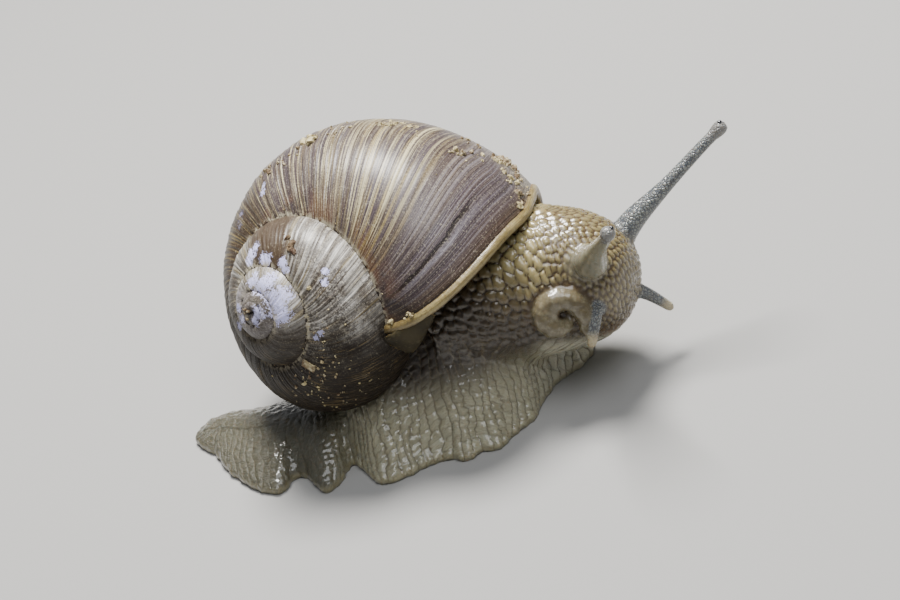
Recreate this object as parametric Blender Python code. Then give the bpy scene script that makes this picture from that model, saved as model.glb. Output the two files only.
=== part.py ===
"""A Roman snail (Helix pomatia), life size, crawling: shell, mantle and body as separate solids.

Sizes are in millimetres, and add_mesh turns them into metres. +X runs forward, +Y to the animal's left
and +Z up. The origin lies on the flat sole.
"""

import math

import bmesh
import bpy
import numpy as np
from mathutils import Euler, Vector

MM = 0.001
GAP = 0.3  # clear space between neighbouring solids
FINEST = 0.01  # points closer than this become one after a Boolean

# The shell: a tube that widens as it coils right-handed down its axis, which starts at POLE.
POLE = (-14.7, -11.5, 25.0)
SHELL_TURN = (65.1, -7.2, -39.4)  # degrees about X, then Y, then Z
TURNS = 4.6
COIL_RADIUS = 12.54  # from the axis to the middle of the last tube
GROWTH = 0.653  # natural log of the widening in one turn
DESCENT = 1.99  # how far the tube comes down, in coil radii
DESCENT_POWER = 1.27
TUBE_WIDTH = 0.99  # half sizes of the tube, in coil radii
TUBE_HEIGHT = 1.22
LEAN_UP = 0.037  # how far a growth line leans ahead, in turns
LEAN_OUT = -0.056
LAST_DROP = 0.11
DROP_TURNS = 0.35
COLUMELLA = 0.2  # its radius, in coil radii
WALL = 1.0
HOLLOW_TURNS = 0.1  # depth of the open mouth of the shell
COLLAR_END = TURNS - 0.022  # where the mantle collar stops, just inside the mouth
LIP_ARC = (-128.0, 100.0)  # degrees round the tube where the lip is free of the earlier whorl
LIP_THICK = 0.75
LIP_DEEP = 0.85
LIP_INSET = 0.2

# The foot: a leaf-shaped flat sole under a body that rises to a ridge along the middle.
FOOT_OUTLINE = (
    (-31.2, -0.8), (-30.0, -3.0), (-28.0, -5.2), (-26.4, -9.0), (-24.0, -12.2), (-21.0, -15.2),
    (-18.4, -16.2), (-16.8, -14.0), (-15.2, -14.4), (-12.6, -18.2), (-10.6, -17.0), (-9.2, -13.8),
    (-7.6, -15.4), (-5.2, -19.0), (-1.5, -18.6), (1.4, -17.3), (4.0, -17.2), (6.4, -18.1),
    (8.0, -16.9), (10.4, -17.2), (12.6, -14.6), (14.8, -12.8), (16.6, -9.0), (18.4, -5.8),
    (21.4, -3.6), (23.4, -0.6), (23.2, 3.0), (20.8, 7.0), (16.6, 10.4), (11.0, 12.8),
    (5.0, 13.2), (-1.0, 12.0), (-7.0, 9.0), (-12.5, 5.6), (-17.6, 3.0), (-22.0, 2.4),
    (-26.4, 3.0), (-29.6, 2.0),
)
EDGE_HEIGHT = 0.9
# Along the foot: x and y of its ridge, the ridge's height, and how the flanks curve (1 domed, 2 hollow).
RIDGE = (
    (-27.5, -1.6, 2.2, 0.8),
    (-22.0, -5.0, 3.3, 0.8),
    (-15.0, -6.2, 4.4, 0.9),
    (-8.0, -4.6, 7.5, 1.3),
    (-2.0, -3.2, 13.0, 1.6),
    (5.0, -2.4, 16.5, 1.6),
    (11.0, -1.8, 14.5, 1.5),
    (16.5, -1.2, 9.0, 1.3),
    (20.5, -0.2, 4.0, 1.2),
)
# Along the neck and head: x, y and z of the middle, half width and half height.
NECK = (
    (5.0, -2.0, 12.0, 8.0, 7.0),
    (12.5, -2.0, 13.4, 8.8, 9.8),
    (18.0, -2.1, 13.9, 8.8, 10.1),
    (22.5, -2.8, 13.7, 8.2, 9.7),
    (26.0, -3.8, 13.2, 7.4, 8.9),
    (28.6, -4.8, 12.7, 6.3, 7.3),
    (30.4, -5.5, 12.3, 4.5, 5.0),
    (31.3, -5.9, 12.1, 2.1, 2.3),
)

# Feelers: x, y and z of the middle and the radius, from the root inside the head to the tip.
FEELERS = {
    "tentacle_upper_left": (
        (29.2, -2.4, 15.2, 2.0), (32.4, -0.8, 18.2, 1.75), (37.6, 0.6, 21.4, 1.05),
        (42.4, 2.1, 24.3, 0.8), (45.0, 2.9, 25.8, 0.75),
    ),
    "tentacle_upper_right": (
        (26.6, -7.0, 16.6, 1.9), (27.6, -10.6, 20.3, 1.55), (28.8, -14.2, 23.8, 1.05),
        (30.2, -17.9, 27.6, 0.85), (30.8, -19.4, 29.1, 0.8),
    ),
    "tentacle_lower_left": ((30.4, -3.6, 10.6, 1.0), (32.4, -3.2, 8.9, 0.8), (34.6, -3.0, 6.6, 0.6)),
    "tentacle_lower_right": ((26.8, -7.8, 14.0, 1.2), (26.4, -11.4, 12.4, 0.85), (25.4, -12.8, 9.2, 0.6)),
}
EYE_RADIUS = 1.05

# The turned-out genital lobe behind the right feelers: a soft tube curled in one plane, facing LOBE_FACING.
LOBE_CENTRE = (21.9, -10.7, 13.8)
LOBE_FACING = (0.15, -0.9, 0.4)
# Round the curl: degrees from straight ahead, distance from the centre, tube radius and standing height.
LOBE_CURL = (
    (-80.0, 1.9, 1.0, -0.6),
    (-130.0, 2.1, 1.3, -0.2),
    (-200.0, 2.3, 1.35, 0.0),
    (-270.0, 2.3, 1.35, 0.2),
    (-350.0, 2.5, 1.4, 0.3),
    (-402.0, 3.7, 1.2, 0.2),
)

# The pale corner of the mantle that hangs out under the lip.
FLAP_CORNERS = ((2.0, -15.2, 18.6), (7.2, -16.0, 20.2), (3.4, -14.0, 15.0))
FLAP_THICK = 1.2
FLAP_BULGE = 0.25  # how far its sides swell, as a share of their distance from its middle

# Thin cuts that part the body: a point on each, and the direction of the piece that is parted off.
TAIL_CUT = ((-12.0, 0.0, 0.0), (-1.0, 0.0, 0.0))
NECK_CUT = ((16.7, -2.0, 11.5), (0.68, 0.0, 0.73))
TRUNK_CUT = ((0.0, 0.0, 6.5), (0.0, 0.0, 1.0))
FRONT_CUT = ((7.0, 0.0, 0.0), (1.0, 0.0, 0.0))
HEAD_CUT = ((24.2, -3.2, 14.0), (0.93, -0.33, -0.15))
MOUTH_CUT = ((28.0, -5.0, 8.0), (0.25, 0.0, -0.97))

SHELL_STEPS = 84  # rings along the whole tube
TUBE_STEPS = 18
LIP_STEPS = 27
LIP_SIDES = 8
NECK_SIDES = 22
FEELER_SIDES = 10
EYE_SIDES = 12

SHELL_BROWN = (0.21, 0.16, 0.11)
LIP_CREAM = (0.52, 0.42, 0.24)
FLESH = (0.42, 0.36, 0.22)
PALE_FLESH = (0.55, 0.55, 0.40)
FEELER_GREY = (0.30, 0.31, 0.27)
EYE_DARK = (0.05, 0.05, 0.06)


def clear_scene():
    for old in list(bpy.data.objects):
        bpy.data.objects.remove(old)


def finish(obj, colour, roughness):
    """Gives a solid its own material, and smooth shading with its sharp edges kept."""
    material = bpy.data.materials.new(obj.name)
    material.use_nodes = True
    shader = material.node_tree.nodes["Principled BSDF"]
    shader.inputs["Base Color"].default_value = (*colour, 1.0)
    shader.inputs["Roughness"].default_value = roughness
    shader.inputs["Metallic"].default_value = 0.0
    obj.data.materials.clear()
    obj.data.materials.append(material)
    obj.data.shade_smooth()
    obj.data.set_sharp_from_angle(angle=math.radians(40.0))


def add_mesh(name, shape):
    """A new object that holds the bmesh shape, given in millimetres, with its faces pointing out."""
    bmesh.ops.scale(shape, vec=(MM, MM, MM), verts=shape.verts)
    bmesh.ops.recalc_face_normals(shape, faces=shape.faces)
    mesh = bpy.data.meshes.new(name)
    shape.to_mesh(mesh)
    shape.free()
    obj = bpy.data.objects.new(name, mesh)
    bpy.context.scene.collection.objects.link(obj)
    return obj


def add_loft(name, rings):
    """One closed skin over rings of points, with each end closed by a fan about its middle."""
    shape = bmesh.new()
    rows = [[shape.verts.new(point) for point in ring] for ring in rings]
    count = len(rows[0])
    for row, following in zip(rows, rows[1:]):
        for i in range(count):
            j = (i + 1) % count
            shape.faces.new((row[i], row[j], following[j], following[i]))
    for row in (rows[0], rows[-1]):
        middle = shape.verts.new(sum((vert.co for vert in row), Vector()) / count)
        for i in range(count):
            shape.faces.new((row[i], row[(i + 1) % count], middle))
    return add_mesh(name, shape)


def spokes(sides):
    """The cosine and sine of as many even steps round a circle."""
    angles = np.linspace(0, 2 * math.pi, sides, endpoint=False)
    return list(zip(np.cos(angles), np.sin(angles)))


def curve_through(points, steps, closed=False):
    """Samples of a smooth curve through points, with steps of them to each span."""
    points = np.array(points, float)
    if closed:
        padded = np.vstack((points[-1:], points, points[:2]))
    else:
        padded = np.vstack((2 * points[0] - points[1], points, 2 * points[-1] - points[-2]))
    samples = []
    for before, start, end, after in zip(padded, padded[1:], padded[2:], padded[3:]):
        for u in np.arange(steps) / steps:
            leaving = (end - before) / 2
            arriving = (after - start) / 2
            samples.append(
                (2 * u**3 - 3 * u**2 + 1) * start
                + (u**3 - 2 * u**2 + u) * leaving
                + (3 * u**2 - 2 * u**3) * end
                + (u**3 - u**2) * arriving
            )
    if not closed:
        samples.append(points[-1])
    return np.array(samples)


def add_tube(name, route, grow=0.0):
    """A round tube along route, whose rows are x, y, z and radius."""
    rings = []
    for i, row in enumerate(route):
        ahead = Vector(route[min(i + 1, len(route) - 1)][:3])
        behind = Vector(route[max(i - 1, 0)][:3])
        turn = (ahead - behind).to_track_quat("Z", "Y").to_matrix()
        radius = row[3] + grow
        rings.append([Vector(row[:3]) + turn @ Vector((x, y, 0)) * radius for x, y in spokes(FEELER_SIDES)])
    return add_loft(name, rings)


def keep_main_body(obj):
    """Drops the crumbs and closed pockets that a Boolean can leave beside the main body."""
    shape = bmesh.new()
    shape.from_mesh(obj.data)
    bmesh.ops.remove_doubles(shape, verts=shape.verts, dist=FINEST * MM)
    bmesh.ops.dissolve_degenerate(shape, edges=shape.edges, dist=FINEST * MM)
    bmesh.ops.triangulate(shape, faces=shape.faces)
    unseen = set(shape.faces)
    bodies = []
    while unseen:
        reached = [unseen.pop()]
        for face in reached:
            for edge in face.edges:
                for other in edge.link_faces:
                    if len(edge.link_faces) == 2 and other in unseen:
                        unseen.remove(other)
                        reached.append(other)
        bodies.append(reached)
    bodies.sort(key=len)
    crumbs = [face for body in bodies[:-1] for face in body]
    bmesh.ops.delete(shape, geom=crumbs, context="FACES")
    shape.to_mesh(obj.data)
    shape.free()


def combine(target, other, operation, overlapping=False):
    """Applies one exact Boolean to target, and leaves other as it is."""
    step = target.modifiers.new("step", "BOOLEAN")
    step.operation = operation
    step.solver = "EXACT"
    step.use_self = overlapping
    step.object = other
    graph = bpy.context.evaluated_depsgraph_get()
    mesh = bpy.data.meshes.new_from_object(target.evaluated_get(graph))
    target.modifiers.remove(step)
    target.data = mesh
    keep_main_body(target)


def cut_away(target, *cutters):
    for cutter in cutters:
        combine(target, cutter, "DIFFERENCE")


def discard(*helpers):
    for helper in helpers:
        bpy.data.objects.remove(helper)


# ---- shell ----


def add_shell_axis():
    axis = bpy.data.objects.new("shell_axis", None)
    axis.location = Vector(POLE) * MM
    axis.rotation_euler = Euler([math.radians(angle) for angle in SHELL_TURN], "XYZ")
    bpy.context.scene.collection.objects.link(axis)


def on_shell_axis(obj):
    obj.parent = bpy.data.objects["shell_axis"]
    bpy.context.view_layer.update()
    return obj


def shell_point(turn, around, grow=0.0):
    """A point of the tube about its axis: around is 0 on the outer side and a quarter turn towards the apex."""
    at = turn + LEAN_UP * math.sin(around) + LEAN_OUT * math.cos(around)
    size = COIL_RADIUS * math.exp(GROWTH * (at - TURNS))
    descent = DESCENT * COIL_RADIUS * math.exp(GROWTH * DESCENT_POWER * (at - TURNS))
    drop = LAST_DROP * COIL_RADIUS * max(at - TURNS + DROP_TURNS, 0.0) ** 2
    out = size + (TUBE_WIDTH * size + grow) * math.cos(around)
    height = (TUBE_HEIGHT * size + grow) * math.sin(around) - descent - drop
    angle = 2 * math.pi * (TURNS - at)
    return Vector((out * math.cos(angle), out * math.sin(angle), height))


def shell_tube(name, start, end, grow=0.0):
    """The shell's tube between two turns, closed at both ends, with wider steps on the small early coils."""
    steps = round(SHELL_STEPS * (end - start) / TURNS) + 3
    turns = np.linspace(start**1.25, end**1.25, steps) ** 0.8
    angles = np.linspace(0, 2 * math.pi, TUBE_STEPS, endpoint=False)
    rings = [[shell_point(turn, around, grow) for around in angles] for turn in turns]
    return on_shell_axis(add_loft(name, rings))


def add_lip(name, grow=0.0):
    """The thick free rim of the shell's mouth, a rounded bar along the last growth line."""
    rings = []
    for i, around in enumerate(np.radians(np.linspace(*LIP_ARC, LIP_STEPS))):
        here = shell_point(TURNS, around, -LIP_INSET)
        outward = (shell_point(TURNS, around) - here).normalized()
        along = (shell_point(TURNS, around + 0.05, -LIP_INSET) - here).normalized()
        onward = along.cross(outward).normalized()
        taper = min(1.0, 0.4 + 0.2 * min(i, LIP_STEPS - 1 - i))
        across = outward * (LIP_THICK * taper + grow)
        deep = onward * (LIP_DEEP * taper + grow)
        rings.append([here + across * x + deep * y for x, y in spokes(LIP_SIDES)])
    return on_shell_axis(add_loft(name, rings))


def add_columella(start, end, grow):
    """A slim spindle down the axis, which fills what the coils leave open there."""
    rings = []
    for turn in np.linspace(start, end, 10):
        radius = COLUMELLA * COIL_RADIUS * math.exp(GROWTH * (turn - TURNS)) + grow
        height = shell_point(turn, math.pi).z
        rings.append([(radius * x, radius * y, height) for x, y in spokes(FEELER_SIDES)])
    return on_shell_axis(add_loft("columella", rings))


def shell_solid(name, start, end, grow=0.0):
    """The coils between two turns, made one with each other and with the columella."""
    coils = shell_tube(name, start, end, grow)
    columella = add_columella(max(start, 0.4), end - 0.55, grow)
    combine(coils, columella, "UNION", overlapping=True)
    discard(columella)
    return coils


def make_shell():
    """The shell with its open mouth, its lip, and the mantle collar that fills the mouth."""
    shell = shell_solid("shell", 0.0, TURNS - 0.004)
    hollow = shell_tube("hollow", TURNS - HOLLOW_TURNS, TURNS + 0.05, -WALL)
    earlier = shell_tube("earlier", TURNS - 1.5, TURNS - 0.62)
    cut_away(hollow, earlier)
    cut_away(shell, hollow)
    lip = add_lip("shell_lip")
    lip_room = add_lip("lip_room", GAP)
    cut_away(shell, lip_room)
    collar = shell_tube("mantle_collar", TURNS - HOLLOW_TURNS + 0.006, COLLAR_END, -WALL - GAP)
    earlier_room = shell_tube("earlier_room", TURNS - 1.5, TURNS - 0.62, GAP)
    cut_away(collar, earlier_room, lip_room)
    discard(hollow, earlier, earlier_room, lip_room)
    finish(shell, SHELL_BROWN, 0.55)
    finish(lip, LIP_CREAM, 0.4)
    finish(collar, PALE_FLESH, 0.35)


# ---- flesh ----


def ridge_at(x):
    """The ridge's y, its height and the flanks' power at x, held at both ends."""
    ridge = curve_through(RIDGE, 8)
    return [np.interp(x, ridge[:, 0], ridge[:, column]) for column in (1, 2, 3)]


def foot_point(edge, reach):
    """A point of the foot's upper side: reach is 0 on the ridge and 1 at the edge."""
    x = min(max(edge[0], RIDGE[0][0]), RIDGE[-1][0])
    y, top, power = ridge_at(x)
    height = EDGE_HEIGHT + (top - EDGE_HEIGHT) * (1.0 - reach**2) ** power
    return (x + (edge[0] - x) * reach, y + (edge[1] - y) * reach, height)


def add_foot():
    outline = curve_through(FOOT_OUTLINE, 2, closed=True)
    rings = [[(x, y, 0.0) for x, y in outline]]
    rings += [[(x, y, EDGE_HEIGHT * 0.6) for x, y in outline]]
    for reach in (0.97, 0.86, 0.72, 0.56, 0.4, 0.22, 0.06):
        rings.append([foot_point(edge, reach) for edge in outline])
    shape = bmesh.new()
    rows = [[shape.verts.new(point) for point in ring] for ring in rings]
    for row, following in zip(rows, rows[1:]):
        for i in range(len(outline)):
            j = (i + 1) % len(outline)
            shape.faces.new((row[i], row[j], following[j], following[i]))
    for row in (rows[0], rows[-1]):
        shape.faces.new(row)
    return add_mesh("foot", shape)


def add_neck():
    """The neck and head as one loft, each ring square to the line of the neck."""
    rings = []
    rows = curve_through(NECK, 3)
    for i, (x, y, z, half_width, half_height) in enumerate(rows):
        ahead = rows[min(i + 1, len(rows) - 1)][:3]
        behind = rows[max(i - 1, 0)][:3]
        line = Vector(ahead - behind).normalized()
        side = Vector((0, 0, 1)).cross(line).normalized()
        up = line.cross(side)
        middle = Vector((x, y, z))
        across = side * half_width
        rise = up * half_height
        rings.append([middle + across * cos + rise * sin for cos, sin in spokes(NECK_SIDES)])
    return add_loft("neck", rings)


def part_off(body, name, cut):
    """Parts the piece on the far side of a thin flat cut off body, as a new object."""
    point, direction = (Vector(values) for values in cut)
    direction.normalize()
    piece = bpy.data.objects.new(name, body.data.copy())
    bpy.context.scene.collection.objects.link(piece)
    for obj, toward in ((body, -direction), (piece, direction)):
        block = bmesh.new()
        bmesh.ops.create_cube(block, size=200.0)
        turn = toward.to_track_quat("Z", "Y").to_matrix().to_4x4()
        bmesh.ops.transform(block, matrix=turn, verts=block.verts)
        bmesh.ops.translate(block, vec=point + toward * (100.0 + GAP / 2), verts=block.verts)
        half_space = add_mesh("half_space", block)
        combine(obj, half_space, "INTERSECT")
        discard(half_space)
    return piece


def make_feelers(head):
    """Tentacles rooted in pockets of the head, the upper ones in two lengths with an eye on the tip."""
    for name, points in FEELERS.items():
        route = curve_through(points, 3)
        room = add_tube("room", route, GAP)
        cut_away(head, room)
        discard(room)
        if "lower" in name:
            finish(add_tube(name, route), FEELER_GREY, 0.35)
            continue
        middle = len(route) // 2
        tip = Vector(route[-1][:3])
        last = (tip - Vector(route[-2][:3])).normalized()
        base = add_tube(name + "_base", route[: middle + 1])
        start = route[middle].copy()
        start[:3] += Vector(route[middle + 1][:3] - route[middle][:3]).normalized() * GAP
        finish(base, FEELER_GREY, 0.35)
        finish(add_tube(name + "_tip", np.vstack((start, route[middle + 1:]))), FEELER_GREY, 0.35)
        knob = bmesh.new()
        bmesh.ops.create_uvsphere(knob, u_segments=EYE_SIDES, v_segments=EYE_SIDES // 2 + 1, radius=EYE_RADIUS)
        bmesh.ops.translate(knob, vec=tip + last * (EYE_RADIUS + GAP), verts=knob.verts)
        finish(add_mesh(name.replace("tentacle_upper", "eye"), knob), EYE_DARK, 0.2)


def add_lobe(name, grow=0.0):
    facing = Vector(LOBE_FACING).normalized()
    right = Vector((0, 0, 1)).cross(facing).normalized()
    up = facing.cross(right)
    route = []
    for degrees, distance, radius, stand in curve_through(LOBE_CURL, 4):
        angle = math.radians(degrees)
        out = right * math.cos(angle) + up * math.sin(angle)
        route.append((*(Vector(LOBE_CENTRE) + out * distance + facing * stand), radius))
    return add_tube(name, np.array(route), grow)


def add_flap(name, grow=0.0):
    """A soft three-cornered leaf with rounded edges."""
    corners = [Vector(corner) for corner in FLAP_CORNERS]
    middle = sum(corners, Vector()) / 3
    across = (corners[1] - corners[0]).cross(corners[2] - corners[0]).normalized()
    outline = []
    for corner, following in zip(corners, corners[1:] + corners[:1]):
        side = (corner + following) / 2
        outline += [corner, side + (side - middle) * FLAP_BULGE]
    outline = [Vector(point) for point in curve_through(outline, 3, closed=True)]
    rings = []
    half = FLAP_THICK / 2 + grow
    for share, lift in ((0.8, -1.0), (1.0, -0.55), (1.0, 0.55), (0.8, 1.0)):
        spread = share + grow / 4
        rings.append([middle + (point - middle) * spread + across * half * lift for point in outline])
    return add_loft(name, rings)


def make_body():
    """The flesh, modelled whole, cleared of the shell and then parted into its named pieces."""
    body = add_foot()
    neck = add_neck()
    combine(body, neck, "UNION")
    shell_room = shell_solid("shell_room", TURNS - 1.4, TURNS + 0.006, GAP + 0.05)
    lip_room = add_lip("lip_room", GAP)
    collar_room = shell_tube("collar_room", TURNS - HOLLOW_TURNS, COLLAR_END + 0.012, -WALL)
    cut_away(body, shell_room, lip_room, collar_room)
    flap = add_flap("mantle_flap")
    cut_away(flap, shell_room, lip_room)
    flap_room = add_flap("flap_room", GAP)
    lobe = add_lobe("genital_lobe")
    feeler_room = add_tube("feeler_room", curve_through(FEELERS["tentacle_lower_right"], 3), GAP)
    cut_away(lobe, feeler_room)
    lobe_room = add_lobe("lobe_room", GAP)
    cut_away(body, flap_room, lobe_room)
    discard(neck, shell_room, lip_room, collar_room, flap_room, lobe_room, feeler_room)

    tail = part_off(body, "tail", TAIL_CUT)
    neck = part_off(body, "neck", NECK_CUT)
    head = part_off(neck, "head", HEAD_CUT)
    mouth = part_off(head, "mouth", MOUTH_CUT)
    trunk = part_off(body, "trunk", TRUNK_CUT)
    front = part_off(body, "foot_front", FRONT_CUT)
    body.name = "foot_middle"
    make_feelers(head)
    for piece in (tail, neck, head, mouth, trunk, front, body, lobe):
        finish(piece, FLESH, 0.35)
    finish(flap, PALE_FLESH, 0.3)


def main():
    clear_scene()
    add_shell_axis()
    make_shell()
    make_body()


main()
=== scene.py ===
import math

import bmesh
import bpy
import numpy as np
from mathutils import Euler, Matrix, Vector, kdtree, noise


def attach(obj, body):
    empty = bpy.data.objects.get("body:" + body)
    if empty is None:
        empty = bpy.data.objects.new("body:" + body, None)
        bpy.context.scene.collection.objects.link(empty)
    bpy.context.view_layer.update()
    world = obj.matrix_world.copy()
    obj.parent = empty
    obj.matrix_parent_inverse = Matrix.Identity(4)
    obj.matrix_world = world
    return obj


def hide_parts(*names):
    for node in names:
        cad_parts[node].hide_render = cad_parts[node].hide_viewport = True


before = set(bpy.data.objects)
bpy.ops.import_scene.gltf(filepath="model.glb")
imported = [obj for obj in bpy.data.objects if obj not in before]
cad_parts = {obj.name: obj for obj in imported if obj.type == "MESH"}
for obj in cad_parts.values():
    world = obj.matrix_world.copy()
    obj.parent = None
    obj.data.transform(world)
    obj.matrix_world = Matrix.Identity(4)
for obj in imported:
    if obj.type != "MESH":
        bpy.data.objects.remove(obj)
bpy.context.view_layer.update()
print("frame loaded:", len(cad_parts), "nodes")

mm = 0.001
metre = 1000.0  # in millimetres
zAxis = np.array((0.0, 0.0, 1.0))


# stage: camera, lamps and floor

viewSettings = {
    "around": 10.0,  # degrees the camera stands round from the animal's right side
    "above": 33.0,
    "roll": 18.5,
    "distance": 330.0,
    "across": 3.7,
    "up": 11.6,
    "lens": 100.0,
    "sensor": 36.0,
    "nearest": 0.01,
}


def addCamera(s):
    around, above, roll = (math.radians(s[key]) for key in ("around", "above", "roll"))
    level = Vector((math.cos(around), math.sin(around), 0.0))
    out = math.cos(above)
    back = Vector((math.sin(around) * out, -math.cos(around) * out, math.sin(above)))
    rise = back.cross(level)
    right = level * math.cos(roll) - rise * math.sin(roll)
    top = level * math.sin(roll) + rise * math.cos(roll)
    place = (right * s["across"] + top * s["up"] + back * s["distance"]) * mm
    camera = bpy.data.objects.new("camera", bpy.data.cameras.new("camera"))
    camera.matrix_world = Matrix.Translation(place) @ Matrix((right, top, back)).transposed().to_4x4()
    camera.data.lens = s["lens"]
    camera.data.sensor_width = s["sensor"]
    camera.data.clip_start = s["nearest"]
    bpy.context.scene.collection.objects.link(camera)
    bpy.context.scene.camera = camera


addCamera(viewSettings)

lampSettings = {
    # name: place in metres, what it points at, its side in metres, watts, colour
    "lamp_top": ((0.01, 0.15, 0.45), (0.0, -0.005, 0.015), 0.18, 7.2, (1.0, 0.985, 0.96)),
    "lamp_side": ((0.1, -0.17, 0.47), (0.0, -0.005, 0.015), 0.34, 1.6, (0.95, 0.97, 1.0)),
}
skyColour = (0.8, 0.83, 0.88)
skyStrength = 0.22


def addLamps(lamps):
    for name, (place, target, side, power, colour) in lamps.items():
        data = bpy.data.lights.new(name, "AREA")
        data.shape, data.size, data.energy, data.color = "DISK", side, power, colour
        lamp = bpy.data.objects.new(name, data)
        aim = Vector(target) - Vector(place)
        lamp.matrix_world = Matrix.Translation(place) @ aim.to_track_quat("-Z", "Y").to_matrix().to_4x4()
        bpy.context.scene.collection.objects.link(lamp)
    world = bpy.data.worlds.new("studio")
    world.use_nodes = True
    sky = world.node_tree.nodes["Background"].inputs
    sky["Color"].default_value = (*skyColour, 1.0)
    sky["Strength"].default_value = skyStrength
    bpy.context.scene.world = world


addLamps(lampSettings)


# node maths

def maths(operation, turned=False):
    return lambda self, other: self.sum(operation, *((other, self) if turned else (self, other)))


class Wire:
    # a node's output that takes part in sums as a number does
    __add__ = __radd__ = maths("ADD")
    __mul__ = __rmul__ = maths("MULTIPLY")
    __sub__, __rsub__ = maths("SUBTRACT"), maths("SUBTRACT", turned=True)
    __truediv__ = maths("DIVIDE")
    high, low = maths("MAXIMUM"), maths("MINIMUM")

    def __init__(self, tree, socket=None):
        self.tree = tree
        self.socket = socket

    def node(self, kind, settings, inputs, output=0):
        # every node is made here: its settings first, then its sockets' values or links
        made = self.tree.nodes.new("ShaderNode" + kind)
        for name, value in settings.items():
            setattr(made, name, value)
        for name, value in inputs.items():
            if isinstance(value, Wire):
                self.tree.links.new(value.socket, made.inputs[name])
            else:
                made.inputs[name].default_value = value
        return Wire(self.tree, made.outputs[output])

    def sum(self, operation, *values):
        return self.node("Math", {"operation": operation}, dict(enumerate(values)))

    def arrows(self, operation, *values, output=0):
        return self.node("VectorMath", {"operation": operation}, dict(enumerate(values)), output)

    def step(self, start, end):
        # 0 below start, 1 above end, and smooth between; start may be the higher one
        inputs = {0: self, 1: start, 2: end, 3: 0.0, 4: 1.0}
        if start > end:
            inputs.update({1: end, 2: start, 3: 1.0, 4: 0.0})
        return self.node("MapRange", {"interpolation_type": "SMOOTHSTEP"}, inputs)

    def near(self, middle, width):
        # 1 at the middle, fading to 0 one width away on each side
        away = (self - middle) / width
        return away.sum("ABSOLUTE", away).step(1.0, 0.0)

    def blend(self, first, second):
        # this wire is how much of the second colour shows
        settings = {"data_type": "RGBA", "clamp_factor": True}
        pair = [c if isinstance(c, Wire) else (*c, 1.0) for c in (first, second)]
        return self.node("Mix", settings, {0: self, 6: pair[0], 7: pair[1]}, output=2)

    def vector(self, x, y, z=0.0):
        return self.node("CombineXYZ", {}, {0: x, 1: y, 2: z})

    def parts(self):
        return [self.node("SeparateXYZ", {}, {0: self}, output) for output in range(3)]

    def noise(self, scale, detail=2.0, rough=0.5, warp=0.0):
        values = {"Vector": self, "Scale": scale, "Detail": detail, "Roughness": rough, "Distortion": warp}
        return self.node("TexNoise", {}, values)

    def mark(self, name):
        # a number that the mesh keeps at each of its points
        return self.node("Attribute", {"attribute_name": name}, {}, output=2)

    def spot(self):
        return self.node("TexCoord", {}, {}, output=3)

    def shares(self):
        # how far across and along its grid a place lies
        return self.node("UVMap", {"uv_map": "growth"}, {}).parts()[:2]

    def farFrom(self, place, reach):
        # the distance from one place, in reaches
        return self.arrows("DISTANCE", self, (place * mm).tolist(), output=1) / (reach * mm)


socketNames = {
    "subsurface": "Subsurface Weight", "radius": "Subsurface Radius", "depth": "Subsurface Scale",
    "coat": "Coat Weight", "coatRough": "Coat Roughness", "coatIor": "Coat IOR",
    "rough": "Roughness", "shine": "Specular IOR Level", "colour": "Base Color", "normal": "Normal",
}


def newFinish(name, **constants):
    # a Principled material with constants on its sockets, and a Wire to start from
    material = bpy.data.materials.new(name)
    material.use_nodes = True
    sockets = material.node_tree.nodes["Principled BSDF"].inputs
    for key, value in constants.items():
        sockets[socketNames[key]].default_value = (*value, 1.0) if key == "colour" else value
    return material, Wire(material.node_tree)


def layers(base, paint, *coats):
    # each coat lies over the ones before it: how much of it shows, and its colour
    for amount, colour in coats:
        base = amount.blend(base, paint[colour] if isinstance(colour, str) else colour)
    return base


def dress(material, tall=None, deep=0.14, strength=0.8, **wires):
    # what varies over a piece: heights for its bump, deep in millimetres, and other sockets' wires
    sockets = material.node_tree.nodes["Principled BSDF"].inputs
    if tall is not None:
        heights = {"Height": tall, "Distance": deep * mm, "Strength": strength}
        wires["normal"] = tall.node("Bump", {}, heights)
    for key, wire in wires.items():
        wire.tree.links.new(wire.socket, sockets[socketNames[key]])
    return material


# mesh helpers

seamReach = 1e-4  # millimetres within which points are merged
neckGrid = (96, 90)  # faces round and along the neck
tubeGrid = (28, 80)  # and a feeler
curveSteps = 12  # points from one corner of an outline to the next


def read(items, key, width, kind=float):
    values = np.empty(len(items) * width, kind)
    items.foreach_get(key, values)
    return values.reshape(-1, width)


def readPoints(mesh):
    return read(mesh.vertices, "co", 3)


def writePoints(mesh, points):
    mesh.vertices.foreach_set("co", np.ascontiguousarray(points, float).ravel())
    mesh.update()


def readNormals(mesh):
    return read(mesh.vertex_normals, "vector", 3)


def readEdges(mesh):
    return read(mesh.edges, "vertices", 2, np.int32)


def writeMarks(mesh, **marks):
    for name, values in marks.items():
        mark = mesh.attributes.new(name, "FLOAT", "POINT")
        mark.data.foreach_set("value", np.ascontiguousarray(values, np.float32))


def averaged(edges, values, weights, rounds):
    # each point's values drawn towards its neighbours', as far as its weight says
    count = len(values)
    ends, others = np.concatenate((edges, edges[:, ::-1])).T
    degree = np.maximum(np.bincount(ends, minlength=count), 1)[:, None]
    weights = np.broadcast_to(weights, (count,))[:, None]
    for _ in range(rounds):
        sums = [np.bincount(ends, column[others], count) for column in values.T]
        values = values + (np.stack(sums, 1) / degree - values) * weights
    return values


def ease(values, start, end):
    t = np.clip((values - start) / (end - start), 0.0, 1.0)
    return t * t * (3.0 - 2.0 * t)


def unit(vectors):
    return vectors / np.maximum(np.linalg.norm(vectors, axis=-1, keepdims=True), 1e-9)


def noiseAt(points):
    return np.array([noise.noise(point) for point in points.tolist()])


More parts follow.
